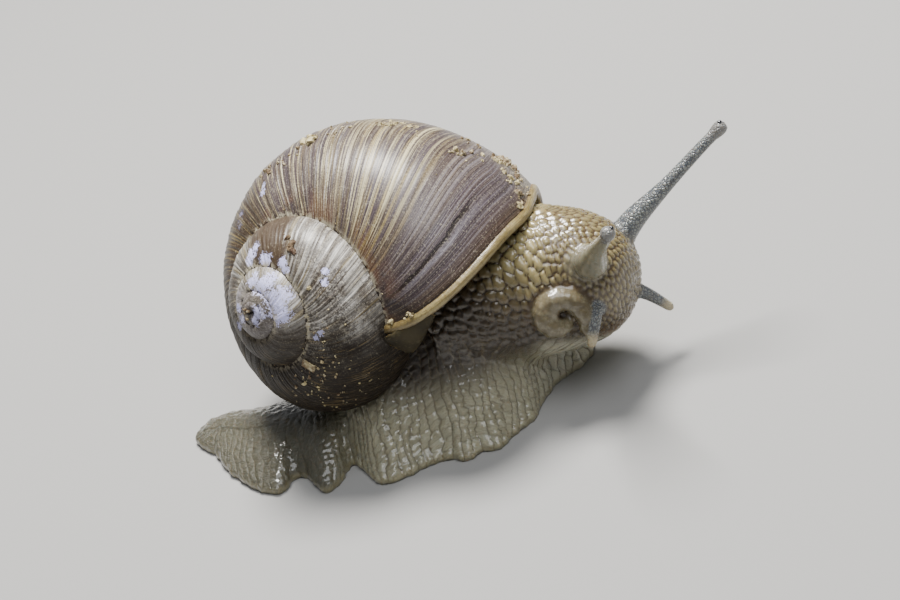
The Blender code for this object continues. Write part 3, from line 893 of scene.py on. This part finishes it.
def lobeRoute():
    facing = unit(np.array(lobeForm["facing"]))
    right = unit(np.cross(zAxis, facing))
    up = np.cross(facing, right)
    route = []
    for degrees, distance, radius, stand in curveThrough(lobeForm["curl"], routeSteps):
        angle = math.radians(degrees)
        out = right * math.cos(angle) + up * math.sin(angle)
        centre = np.array(lobeForm["centre"]) + out * distance + facing * (stand + lobeForm["proud"])
        route.append((*centre, radius))
    return np.array(route)


def feelerRoute(name):
    route = curveThrough(feelerForm[name], routeSteps)
    if "upper" in name:
        tip, line = route[-1, :3], unit(route[-1, :3] - route[-4, :3])
        swelling = ((0.1, 0.82), (0.7, 0.95), (knobRadius + knobGap, knobRadius))
        route = np.vstack((route, *((*(tip + line * ahead), radius) for ahead, radius in swelling)))
    return route


skinForm = {
    "voxel": 0.25,
    "melt": 60,  # rounds in which the neck and the foot run into each other
    "sole": 0.12,  # height below which the underside stays flat
    "rise": (0.25, 0.8),  # and between which the folds come up from it
    "seed": 7,
    "ownSeed": 3,
    "near": 14,  # warts that each point is measured against
    "apart": 0.82,  # of a wart's own size, how far the next one keeps away
    "bend": 0.18,
    "spread": 0.3,
    "crown": 0.25,
    "round": 0.075,
    "foldPitch": 1.3,
    "crossPitch": 1.45,
    "deep": (0.17, 0.11, 0.08, 0.07),  # long folds, cross creases, cells and ripples
    "picks": 499,  # random numbers that the folds share
}

routes = {name: feelerRoute(name) for name in feelerForm}
routes["lobe"] = lobeRoute()


def nearestRoute(points, route):
    # distance to a tube's middle line in its own radii, and how far along it each point is
    best = np.full(len(points), 1e9)
    along = np.zeros(len(points))
    inside = (points > route[:, :3].min(0) - 4).all(1) & (points < route[:, :3].max(0) + 4).all(1)
    for k, (start, end) in enumerate(zip(route, route[1:])):
        step = end[:3] - start[:3]
        t = np.clip(((points[inside] - start[:3]) @ step) / max(step @ step, 1e-9), 0, 1)
        radius = start[3] + (end[3] - start[3]) * t
        distance = np.linalg.norm(points[inside] - start[:3] - t[:, None] * step, axis=1) / radius
        better = distance < best[inside]
        index = np.flatnonzero(inside)[better]
        best[index] = distance[better]
        along[index] = (k + t[better]) / (len(route) - 1)
    return best, along


def skinRegions(points):
    # how much each part of the body a point belongs to
    x, y, z = points.T
    near = {name: nearestRoute(points, route) for name, route in routes.items()}
    feeler = np.zeros(len(points))
    tip = np.zeros(len(points))
    for name in feelerForm:
        distance, along = near[name]
        start, end = (0.2, 0.8) if "upper" in name else (0.28, 0.72)
        member = ease(distance, 1.45, 1.15) * ease(along, start * 0.5, start)
        feeler = np.maximum(feeler, member)
        tip = np.maximum(tip, member * ease(along, end, 0.95))
    distance, along = near["upperRight"]
    curl = near["lobe"][0]
    neck = ease(z - np.interp(x, (8.0, 14.0, 20.0, 27.0), (13.0, 12.0, 9.5, 7.5)), -1.8, 1.8)
    neck = neck * ease(x, 1.0, 7.0)
    return {
        "feeler": feeler, "tip": tip, "neck": neck,
        "lobe": ease(curl, 1.35, 1.05) * (1 - feeler),
        "head": ease(x + 0.35 * (z - 13) - 0.25 * y, 24.0, 28.0) * neck,
        "tail": ease(x, -7.0, -13.0),
        "plain": ease(distance, 1.75, 1.35) * ease(along, 0.0, 0.05) * (1 - tip),
        # where the lobe's curl meets the skin, for painted shade
        "crease": ease(np.abs(curl - 1.22), 0.3, 0.08),
    }


wartForm = {
    # length, width and height of a wart in millimetres
    "rest": (1.1, 0.95, 0.34),
    "head": (1.25, 0.66, 0.22),
    "feeler": (0.55, 0.42, 0.035),
    "lobe": (0.9, 0.7, 0.05),
    # x in millimetres, and how far the rows of warts lean forwards there
    "lean": ((13.0, 21.0), (0.55, 0.15)),
}


def grainField(points, normals, regions):
    # the long way of the warts at each point, their length and width in millimetres, and their height
    x, z = points[:, 0], points[:, 2]
    neck = regions["neck"]
    lean = np.interp(x, *wartForm["lean"])
    slant = np.stack((lean, 0 * lean, -np.sqrt(1 - lean**2)), -1)
    course = unit(slant - normals * (slant * normals).sum(1, keepdims=True))
    top = ease(normals[:, 2], 0.45, 0.85)
    flank = ease(z + 0.75 * x, 29.0, 35.0)
    neckLong = 1.45 + (2.0 + 1.6 * noiseAt(points * 0.42)) * flank * (1 - top) + 0.2 * top
    neckWide = 1.15 + 0.18 * top + 0.05 * flank * (1 - top)
    long, wide, high = wartForm["rest"]
    grain = [np.where(neck > 0, neckLong, long), np.where(neck > 0, neckWide, wide), high + 0.06 * flank]
    for name in ("head", "feeler", "lobe"):
        grain = [now + (goal - now) * regions[name] for now, goal in zip(grain, wartForm[name])]
        if name == "head":
            grain[2] = grain[2] * (1 - regions["plain"])
    return course, *grain


def spacedSeeds(points, course, length, width, s):
    # a random choice of points that keep their distance from each other
    tree, apart = treeOf(points), s["apart"]
    order = np.random.default_rng(s["seed"]).permutation(len(points))
    free = np.ones(len(points), bool)
    chosen = []
    for i in order:
        if not free[i]:
            continue
        chosen.append(i)
        found = np.array([hit[1] for hit in tree.find_range(points[i], apart * length[i])])
        offset = points[found] - points[i]
        run = offset @ course[i]
        beside = (offset * offset).sum(1) - run * run
        free[found[(run / length[i]) ** 2 + beside / width[i] ** 2 < apart**2]] = False
    return np.array(chosen)


def nearestSeeds(points, seeds, course, length, width, count):
    tree = treeOf(seeds)
    index = np.array([[hit[1] for hit in tree.find_n(point, count)] for point in points.tolist()])
    offset = points[:, None, :] - seeds[index]
    run = (offset * course[:, None, :]).sum(2)
    beside = (offset * offset).sum(2) - run * run
    return index, (run / length[:, None]) ** 2 + np.maximum(beside, 0) / width[:, None] ** 2


def wartPattern(points, course, length, width, s):
    # millimetres from the nearest groove, share of the way out from the middle, and each wart's own number
    seeds = points[spacedSeeds(points, course, length, width, s)]
    for _ in range(2):
        index, distance = nearestSeeds(points, seeds, course, length, width, s["near"])
        owner = index[np.arange(len(points)), distance.argmin(1)]
        weight, count = 1.0 / (length * width), len(seeds)
        total = np.maximum(np.bincount(owner, weight, count), 1e-9)
        moved = np.stack([np.bincount(owner, weight * column, count) / total for column in points.T], -1)
        used = np.bincount(owner, minlength=count) > 0
        seeds = np.where(used[:, None], moved, seeds)
    index, distance = nearestSeeds(points, seeds, course, length, width, s["near"])
    order = np.argsort(distance, 1)[:, :6]
    rows = np.arange(len(points))
    first = order[:, 0]
    owner = index[rows, first]

    def edgeOf(other):
        between = seeds[index[rows, other]] - seeds[owner]
        run = (between * course).sum(1)
        span = (run / length) ** 2 + np.maximum((between * between).sum(1) - run * run, 0) / width**2
        across = np.linalg.norm(between, axis=1) / np.maximum(span, 1e-9)
        return (distance[rows, other] - distance[rows, first]) * across / 2

    # corners are rounded off where several grooves meet
    near = sum(np.exp(-np.maximum(edgeOf(order[:, k]), 0.0) / s["round"]) for k in range(1, 6))
    edge = -s["round"] * np.log(np.maximum(near, 1e-6))
    print("warts:", len(seeds))
    return edge, np.sqrt(distance[rows, first]), owner, len(seeds)


def footCourse(points):
    # millimetres round the foot's margin and out from its ridge, and how closely lines crowd there
    outline = curveThrough(footForm["outline"], curveSteps, closed=True)
    shares = np.arange(len(outline)) / len(outline)
    reaches = np.linspace(0.02, footForm["brim"], 32)
    grid = np.stack([footPlace(outline, shares, np.full(len(shares), reach)) for reach in reaches])
    arc = np.concatenate(((0.0,), np.cumsum(np.linalg.norm(np.diff(outline, axis=0), axis=1))))
    down = np.cumsum(np.linalg.norm(np.diff(grid, axis=0, prepend=grid[:1]), axis=2), axis=0)
    aside = np.roll(grid, -1, 1) - np.roll(grid, 1, 1)
    aside /= np.linalg.norm(np.roll(outline, -1, 0) - np.roll(outline, 1, 0), axis=1)[None, :, None]
    onward = unit(np.gradient(grid, axis=0))
    flat = grid.reshape(-1, 3)
    tree = treeOf(flat)
    found = np.array([tree.find(point)[1] for point in points.tolist()])
    offset = points - flat[found]
    aside, onward = aside.reshape(-1, 3)[found], onward.reshape(-1, 3)[found]
    crowd = np.linalg.norm(aside, axis=1)
    shift = np.clip((offset * aside).sum(1) / np.maximum(crowd, 0.2) ** 2, -0.6, 0.6)
    arc = np.tile(arc, len(grid))[found] + shift
    return arc, down.ravel()[found] + (offset * onward).sum(1), np.clip(crowd, 0.15, 1.3)


def footFolds(points, s):
    # long grooves that fan out to the margin, and shorter creases that cross between them
    arc, down, crowd = footCourse(points)
    bend = 1.0 * noiseAt(points * 0.28) + 0.4 * noiseAt(points * 0.85) + 0.12 * noiseAt(points * 2.5)
    column = (arc + bend) / s["foldPitch"]
    narrow = np.abs(column - np.round(column)) * s["foldPitch"]
    wide = np.abs(column / 2 - np.round(column / 2)) * s["foldPitch"] * 2
    fold = (narrow + (wide - narrow) * (1 - ease(crowd, 0.4, 0.75))) * crowd
    count = s["picks"]
    picks = np.random.default_rng(s["seed"]).random(count)
    cell = np.floor(column).astype(int)
    pitch = s["crossPitch"] * (0.65 + 0.9 * picks[cell % count])
    step = (down + 7.0 * picks[(cell * 3 + 5) % count] + 0.35 * noiseAt(points * 1.3)) / pitch
    cross = np.abs(step - np.round(step)) * pitch
    shade = picks[(cell * 17 + np.floor(step).astype(int) * 31) % count]
    marks = {"along": arc, "down": down, "column": column, "step": step, "crowd": crowd}
    return fold, cross, shade, marks


def makeSkin(s):
    parts = [makeFoot(), makeNeck()]
    parts += [tubeMesh(name, route) for name, route in routes.items()]
    mesh = remeshed(joined("skin", parts), s["voxel"])
    points, edges = readPoints(mesh), readEdges(mesh)
    x, _, z = points.T
    # the neck melts into the foot, and the rest is only smoothed
    waist = ease(z, 2.5, 5.0) * ease(z, 13.0, 9.0)
    waist = waist * ease(x, 0.0, 4.0) * ease(x, 30.0, 24.0)
    held = np.minimum(*(nearestRoute(points, routes[name])[0] for name in ("lobe", "lowerRight")))
    waist *= ease(held, 1.3, 2.0)
    sole = z < s["sole"]
    points = averaged(edges, points, 0.6 * waist * ~sole, s["melt"])
    points = averaged(edges, points, np.where(sole, 0.0, 0.5), 3)
    points[sole, 2] = 0.0
    points[:, 2] = np.maximum(points[:, 2], 0.0)
    writePoints(mesh, points)
    normals = readNormals(mesh)
    soft = unit(averaged(edges, normals, 0.5, 12))
    regions = skinRegions(points)
    neck, lobe, feeler, tail = (regions[name] for name in ("neck", "lobe", "feeler", "tail"))
    # warts on the neck, head, feelers and lobe
    course, length, width, height = grainField(points, soft, regions)
    bent = points + s["bend"] * np.stack([noiseAt(points * 0.9 + shift) for shift in (0.0, 31.0, 57.0)], -1)
    warty = np.maximum(neck, np.maximum(lobe, feeler)) > 0.01
    edge, out, own = np.full(len(points), 0.5), np.zeros(len(points)), np.full(len(points), 0.5)
    edge[warty], out[warty], owner, count = wartPattern(
        *(values[warty] for values in (bent, course, length, width)), s)
    own[warty] = np.random.default_rng(s["ownSeed"]).random(count)[owner]
    soften = 1.0 - s["crown"] * ease(out, 0.2, 0.62)
    lift = height * (ease(edge / s["spread"], 0.0, 1.0) ** 0.7 * soften - 0.6) * (0.7 + 0.6 * own)
    # folds and creases on the foot
    fold, cross, shade, marks = footFolds(points, s)
    foldDeep, crossDeep, cellDeep, rippleDeep = s["deep"]
    folds = foldDeep * (ease(fold, 0.0, 0.48) ** 0.8 - 0.7) + crossDeep * (ease(cross, 0.0, 0.36) - 0.7)
    folds += cellDeep * (shade - 0.5)
    ripple = noiseAt(np.stack((marks["along"] * 0.7, marks["down"] * 2.2, 0 * fold), -1))
    folds = folds * (1 - 0.7 * tail) + rippleDeep * ripple
    folds = folds + (0.05 + 0.05 * tail) * noiseAt(points * 2.1)
    lift += 0.16 * lobe * noiseAt(points * 0.85)
    share = np.maximum(neck, 1 - (1 - lobe) * (1 - feeler))
    lift = (lift * share + folds * (1 - share)) * ease(points[:, 2], *s["rise"])
    points = points + soft * lift[:, None]
    points[:, 2] = np.maximum(points[:, 2], 0.0)
    writePoints(mesh, points)
    marks.update(regions)
    marks.update({"wart": edge, "shade": own * share + shade * (1 - share)})
    writeMarks(mesh, **marks)
    return mesh


skinPaint = {
    "neckTop": (0.195, 0.158, 0.07),
    "neckPale": (0.35, 0.292, 0.14),
    "neckGroove": (0.078, 0.047, 0.025),
    # painted shade: the three low colours darken the neck's lower side, and the fourth stands for the deepest
    # shade there and on the foot
    "lowTop": (0.058, 0.041, 0.02),
    "lowPale": (0.125, 0.094, 0.048),
    "lowGroove": (0.027, 0.016, 0.009),
    "paintedShade": (0.031, 0.021, 0.012),
    "footTop": (0.22, 0.205, 0.13),
    "footPale": (0.4, 0.38, 0.265),
    "footGroove": (0.118, 0.093, 0.052),
    # painted light: a bright wet sheen on the front of the foot
    "footFrontLit": (0.62, 0.6, 0.46),
    "under": (0.12, 0.062, 0.028),
    # painted shade: the tail in the shell's shade
    "tail": (0.036, 0.033, 0.019),
    "feelerTop": (0.195, 0.203, 0.188),
    "feelerGroove": (0.075, 0.08, 0.088),
    "smooth": (0.15, 0.14, 0.1),
    "knob": (0.17, 0.165, 0.155),
    "tipCream": (0.42, 0.36, 0.23),
    "lobe": (0.118, 0.098, 0.055),
    "lobePale": (0.24, 0.215, 0.138),
    # painted shade in the crease round the lobe
    "crease": (0.07, 0.042, 0.02),
    # painted shade in the hole of the lobe's curl
    "pitShade": (0.045, 0.027, 0.014),
    "rim": (0.36, 0.315, 0.17),
}


def finishSkin(p):
    material, wire = newFinish("skin", coatRough=0.08, subsurface=0.3, radius=(1.0, 0.6, 0.32),
                               depth=0.0008, shine=0.5, coatIor=1.42)
    marks = "wart shade column step crowd neck head feeler tip lobe tail plain crease along down"
    (edge, shade, column, step, crowd, neck, head, feeler, tip, lobe, tail, plain, crease, along,
     down) = (wire.mark(name) for name in marks.split())
    spot = wire.spot()
    forward, _, height = (part * metre for part in spot.parts())
    cloud, speck, wet = spot.noise(170.0, 3.0, 0.55), spot.noise(1500.0, 3.0, 0.6), spot.noise(620.0)
    clouded = cloud.step(0.35, 0.7)
    ripple = wire.vector(along * 1.1, down * 3.6).noise(1.0, 3.0, 0.6)
    creasing = wire.vector(along * 1.8, down * 7.5, 9.0).noise(1.0, 3.0, 0.6, warp=0.5)
    # neck: glossy warts, yellow above; lower down and deepest under the shell they take painted shade, and
    # the head is toned towards it
    low = (height + forward * 0.75 + cloud * 4.0).step(37.5, 29.5)
    # painted shade: the deepest shade, low on the neck under the shell
    deep = (height + forward * 0.75 + cloud * 3.0).step(32.0, 25.0) * 0.8
    top, pale, groove = (low.blend(p["neck" + tone], p["low" + tone]) for tone in ("Top", "Pale", "Groove"))
    raised = (shade * 0.45 + clouded * 0.35 + edge.step(0.1, 0.4) * 0.25).blend(top, pale)
    base = layers(((edge - 0.01) / (head * 0.06 + 0.14)).step(0.0, 1.0).blend(groove, raised), p,
                  (deep, "paintedShade"), (head * 0.34, "lowTop"))
    # foot: long dark grooves, and creases across them
    # painted light on the front of the foot
    litFront = forward.step(15.5, 19.5)
    sole = layers(
        (shade * 0.4 + clouded * 0.4 + ripple.step(0.5, 0.7) * 0.3).blend(p["footTop"], p["footPale"]), p,
        # painted shade on the tail under the shell
        (tail * 0.85, "tail"),
        (litFront * 0.8, "footFrontLit"),
        # painted shade higher up the foot under the shell, less at the front
        ((height + cloud * 3.0 - litFront * 2.5).step(6.5, 12.0), "paintedShade"))
    pitch = skinForm["foldPitch"]
    narrow = column.sum("PINGPONG", column, 0.5) * pitch
    wide = column.sum("PINGPONG", column * 0.5, 0.5) * pitch * 2.0
    fold = (narrow + (wide - narrow) * crowd.step(0.75, 0.4)) * crowd
    cross = step.sum("PINGPONG", step, 0.5)
    lines = (fold.step(0.0, 0.2) * 0.85 + 0.15).low(cross.step(0.0, 0.14) * 0.4 + 0.6)
    sole = (lines * 0.85 + 0.15 + tail * 0.3).low(1.0).blend(p["footGroove"], sole)
    sole = (creasing.step(0.44, 0.36) * 0.35).blend(sole, p["footGroove"])
    # feelers: a dark net over pale grains; the near upper one is plain, and the lobe olive cream
    grain = wire.node("TexVoronoi", {"feature": "DISTANCE_TO_EDGE"}, {"Vector": spot, "Scale": 2200.0})
    # painted shade in the hole in the middle of the lobe's curl
    reach = spot.arrows("SUBTRACT", spot, [value * mm for value in lobeForm["centre"]])
    beside = reach.arrows("CROSS_PRODUCT", reach, unit(np.array(lobeForm["facing"])).tolist())
    beside, reach = (line.arrows("LENGTH", line, output=1) / mm for line in (beside, reach))
    base = layers(
        neck.blend(sole, base), p,
        (head * (height + cloud * 2.0).step(11.5, 8.5) * 0.75, "under"),
        (feeler, grain.step(0.03, 0.22).blend(p["feelerGroove"], p["feelerTop"])),
        (plain, (cloud.step(0.3, 0.7) * 0.3 + speck * 0.2).blend(p["smooth"], p["footPale"])),
        (tip, height.step(16.0, 20.0).blend(p["tipCream"], p["knob"])),
        (lobe, (speck.step(0.45, 0.65) * 0.5 + cloud.step(0.4, 0.7) * 0.3).blend(p["lobe"], p["lobePale"])),
        # painted shade in the crease round the lobe
        (crease * (1.0 - feeler) * 0.75, "crease"),
        # painted shade in the hole of the lobe's curl
        (beside.step(0.8, 0.3) * reach.step(3.5, 2.5) * 0.85, "pitShade"),
        (height.step(1.3, 0.5) * 0.5, "rim"))
    foot = 1.0 - neck
    puckers = spot.noise(2300.0, 2.0, 0.6, warp=0.5)
    tall = wet * 0.45 + speck * 0.2 + (ripple * 0.9 + creasing * 1.3 + lines * 0.6 + puckers * 0.9) * foot
    return dress(material, tall + grain.step(0.0, 0.3) * feeler * (1.0 - plain) * 0.6, colour=base,
                 rough=wet * 0.28 + 0.12 + foot * 0.08,
                 coat=edge.step(0.0, 0.2) * 0.25 + 0.38 - low * neck * 0.38 + foot * 0.34 + lobe * 0.2)


skinNodes = [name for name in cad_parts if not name.startswith(("shell", "eye", "mantle"))]
toFrame("skin", makeSkin(skinForm), finishSkin(skinPaint), "flesh", *skinNodes)
print("skin stage done")

# mantle: the collar inside the shell's mouth and the corner that hangs out under the lip

mantleForm = {
    "from": 0.1,  # turns behind the mouth where the collar starts
    "to": 0.026,
    "clear": 1.25,  # below the shell's outer face
    "corners": ((0.3, -14.9, 19.0), (7.8, -16.0, 21.6), (3.4, -14.5, 15.6)),
    "thick": 1.1,
    "bulge": 0.22,
    "voxel": 0.3,
    "collarGrid": (90, 60),
    "flapGrid": (72, 40),
}


def makeMantle(s):
    def collarPlace(across, along):
        turn = shellForm["turns"] - s["from"] + (s["from"] - s["to"]) * np.clip(along / 0.8, 0, 1)
        over = np.clip((along - 0.8) / 0.2, 0, 1)
        fill = np.where((along <= 0) | (along >= 1), 0.0, np.sqrt(1 - over**2 * 0.999))
        return shellPoint(turn + over * 0.006, across * 2 * math.pi, -s["clear"], fill)

    corners = np.array(s["corners"])
    middle = sum(corners) / 3
    face = unit(np.cross(corners[1] - corners[0], corners[2] - corners[0]))
    outline = []
    for corner, following in zip(corners, np.roll(corners, -1, 0)):
        side = (corner + following) / 2
        outline += [corner, side + (side - middle) * s["bulge"]]
    outline = curveThrough(outline, curveSteps, closed=True)
    loop = np.vstack((outline, outline[:1]))

    def flapPlace(across, along):
        edge = np.stack(columnsAt(across, np.linspace(0, 1, len(loop)), loop), -1)
        angle = along * math.pi
        spread = np.sin(angle) ** 0.6
        lift = np.cos(angle) * s["thick"] / 2 * (0.6 + 0.4 * (1 - spread))
        return middle + (edge - middle) * spread[:, None] + face * lift[:, None]

    collar = closedGrid("collar", *s["collarGrid"], collarPlace)
    flap = closedGrid("flap", *s["flapGrid"], flapPlace)
    mesh = remeshed(joined("mantle", (collar, flap)), s["voxel"])
    points = averaged(readEdges(mesh), readPoints(mesh), 0.5, 4)
    writePoints(mesh, points)
    lift = 0.1 * noiseAt(points * 0.5) + 0.03 * noiseAt(points * 2.0)
    writePoints(mesh, points + readNormals(mesh) * lift[:, None])
    return mesh


mantlePaint = {"pale": (0.052, 0.042, 0.022), "grey": (0.025, 0.02, 0.011), "fleck": (0.085, 0.072, 0.04)}


def finishMantle(p):
    material, wire = newFinish("mantle", coatRough=0.15, subsurface=0.3, radius=(1.0, 0.7, 0.4),
                               depth=0.001, shine=0.12)
    spot = wire.spot()
    cloud, speck = spot.noise(240.0, 3.0), spot.noise(1400.0)
    base = cloud.step(0.35, 0.65).blend(p["grey"], p["pale"])
    base = (speck.step(0.58, 0.68) * 0.5).blend(base, p["fleck"])
    return dress(material, cloud + speck * 0.3, deep=0.1, strength=0.5, colour=base, rough=cloud * 0.2 + 0.32)


toFrame("mantle", makeMantle(mantleForm), finishMantle(mantlePaint), "mantle",
        "mantle_collar", "mantle_flap")


# eyes: a small dark bead set in each upper knob

eyeForm = {
    "radius": 0.3,
    "flat": 0.8,
    "sunk": 0.12,
    "upperLeft": (0.1, -0.1, 1.0),  # which way each bead looks
    "upperRight": (0.8, 0.1, 0.75),
}


def makeEye(name, s):
    toward = unit(np.array(s[name]))
    shape = bmesh.new()
    bmesh.ops.create_uvsphere(shape, u_segments=32, v_segments=20, radius=s["radius"])
    bmesh.ops.scale(shape, vec=(1.0, 1.0, s["flat"]), verts=shape.verts)
    turn = Vector(toward).to_track_quat("Z", "Y").to_matrix().to_4x4()
    bmesh.ops.transform(shape, matrix=turn, verts=shape.verts)
    place = routes[name][-1, :3] + toward * (knobRadius - s["sunk"])
    bmesh.ops.translate(shape, vec=Vector(place), verts=shape.verts)
    return meshOf(shape, "eye")


eyePaint = {"dark": (0.008, 0.008, 0.011), "ring": (0.06, 0.062, 0.072)}


def finishEye(p):
    material, wire = newFinish("eye", rough=0.12, coat=1.0, coatRough=0.04)
    return dress(material, colour=wire.spot().noise(3000.0).step(0.55, 0.75).blend(p["dark"], p["ring"]))


eyeFinish = finishEye(eyePaint)
for side in ("Left", "Right"):
    name = side.lower()
    toFrame(name + "_eye", makeEye("upper" + side, eyeForm), eyeFinish, "eye", "eye_" + name)


# crumbs of soil that cling to the shell

crumbForm = {
    "seed": 11,
    "lastTurn": 4.598,  # no grain lies past the shell's edge
    "fine": 0.25,  # grains smaller than this have fewer faces
    # a flat bit of straw: turn, degrees round the tube, its three sides, how ragged
    "straw": (3.722, 76.0, (1.9, 0.95, 0.26), 0.07),
    # turn, degrees round the tube, spread in turns and degrees, how many, and size in millimetres
    "clusters": (
        (4.555, -34.0, 0.003, 2.2, 34, 0.42), (4.557, -33.0, 0.002, 1.6, 8, 0.62),
        (4.55, -27.0, 0.004, 2.0, 30, 0.34), (4.568, -42.0, 0.003, 2.5, 20, 0.36),
        (4.578, -31.0, 0.003, 5.0, 46, 0.24), (4.572, -20.0, 0.008, 5.0, 14, 0.36),
        (4.525, -18.0, 0.01, 5.0, 12, 0.34), (4.52, -2.0, 0.006, 2.5, 12, 0.42),
        (4.59, -22.0, 0.004, 6.0, 16, 0.3), (4.47, 2.0, 0.01, 4.0, 10, 0.3),
        (4.44, 7.0, 0.014, 4.0, 14, 0.34), (4.395, 20.0, 0.01, 5.0, 12, 0.3),
        (4.365, 30.0, 0.006, 3.0, 10, 0.55), (4.335, 38.0, 0.01, 4.0, 10, 0.3),
        (4.3, 46.0, 0.01, 4.0, 10, 0.34), (4.592, 84.0, 0.003, 3.0, 8, 0.34),
        (4.592, 71.0, 0.003, 3.0, 8, 0.32), (3.43, 58.0, 0.007, 2.5, 22, 0.42),
        (3.412, 50.0, 0.005, 2.0, 8, 0.28), (3.52, 72.0, 0.002, 1.0, 4, 0.3),
        (3.74, 60.0, 0.03, 10.0, 26, 0.26), (3.8, 45.0, 0.06, 18.0, 60, 0.15),
        (0.1, 60.0, 0.06, 30.0, 16, 0.24), (3.7, 72.0, 0.06, 14.0, 50, 0.13),
        (3.85, 20.0, 0.06, 20.0, 40, 0.15), (4.45, 95.0, 0.09, 7.0, 90, 0.11),
        (4.55, 98.0, 0.03, 6.0, 60, 0.12), (3.5, 95.0, 0.16, 8.0, 70, 0.1),
        (4.4, 60.0, 0.12, 40.0, 60, 0.09),
    ),
}


def makeStraw(turn, degrees, sides, ragged):
    around = math.radians(degrees)
    middle, ahead, above = (shellPoint(np.array(turn), np.array(a), g) for a, g in
                            ((around, 0.0), (around + 0.05, 0.0), (around, 0.5)))
    ahead, above = unit(ahead - middle), unit(above - middle)
    chip = bmesh.new()
    bmesh.ops.create_cube(chip, size=1.0)
    bmesh.ops.subdivide_edges(chip, edges=chip.edges[:], cuts=3, use_grid_fill=True)
    for vert in chip.verts:
        place = [co * side for co, side in zip(vert.co, sides)]
        rough = noise.noise_vector(Vector(place) * 2.3) * ragged
        place = middle + ahead * place[0] + np.cross(above, ahead) * place[1] + above * (place[2] + 0.08)
        vert.co = Vector(place) + rough
    return meshOf(chip, "straw")


def makeCrumbs(s):
    random = np.random.default_rng(s["seed"])
    noise.seed_set(s["seed"])  # otherwise noise_vector differs from run to run
    shape = bmesh.new()
    for turn, around, turnSpread, aroundSpread, count, size in s["clusters"]:
        for _ in range(count):
            spotTurn = np.minimum(turn + random.normal() * turnSpread, s["lastTurn"])
            spot = Vector(spotOn(spotTurn, around + random.normal() * aroundSpread))
            radius = size * random.uniform(0.35, 1.05) ** 1.3
            rounds = 2 if radius > s["fine"] else 1
            made = bmesh.ops.create_icosphere(shape, subdivisions=rounds, radius=radius)["verts"]
            stretch = random.uniform(0.65, 1.25, 3)
            shift = Vector(random.uniform(-50, 50, 3))
            spin = Euler(random.uniform(0, 6.3, 3)).to_matrix()
            for vert in made:
                rough, finer = (noise.noise(vert.co / radius * close + shift) for close in (1.1, 2.9))
                dent = 1.0 + 0.75 * rough + 0.45 * finer
                turned = spin @ Vector(vert.co * dent * Vector(stretch).length / 1.7)
                vert.co = Vector([a * b for a, b in zip(turned, stretch)]) + spot
    shape.from_mesh(makeStraw(*s["straw"]))
    return meshOf(shape, "crumbs")


crumbPaint = {
    "straw": (0.46, 0.385, 0.2),
    "loam": (0.15, 0.1, 0.055),
    "pale": (0.6, 0.545, 0.36),
    "clay": (0.07, 0.032, 0.021),
    "clod": (3.425, 56.0, 2.2),  # turn, degrees round the tube, reach in millimetres
}


def finishCrumbs(p):
    material, wire = newFinish("crumbs", shine=0.25)
    spot = wire.spot()
    cloud, speck = spot.noise(330.0), spot.noise(2200.0, 3.0, 0.6)
    turn, degrees, reach = p["clod"]
    clod = spot.farFrom(spotOn(turn, degrees), reach).step(1.2, 0.8)
    base = layers(cloud.step(0.42, 0.58).blend(p["straw"], p["loam"]), p,
                  (speck.step(0.45, 0.7) * 0.7, "pale"), (clod * (0.95 - speck * 0.3), "clay"))
    return dress(material, speck, deep=0.1, colour=base, rough=speck * 0.4 + 0.5)


toFrame("soil_crumbs", makeCrumbs(crumbForm), finishCrumbs(crumbPaint), "shell").data.shade_flat()
print("small pieces done")
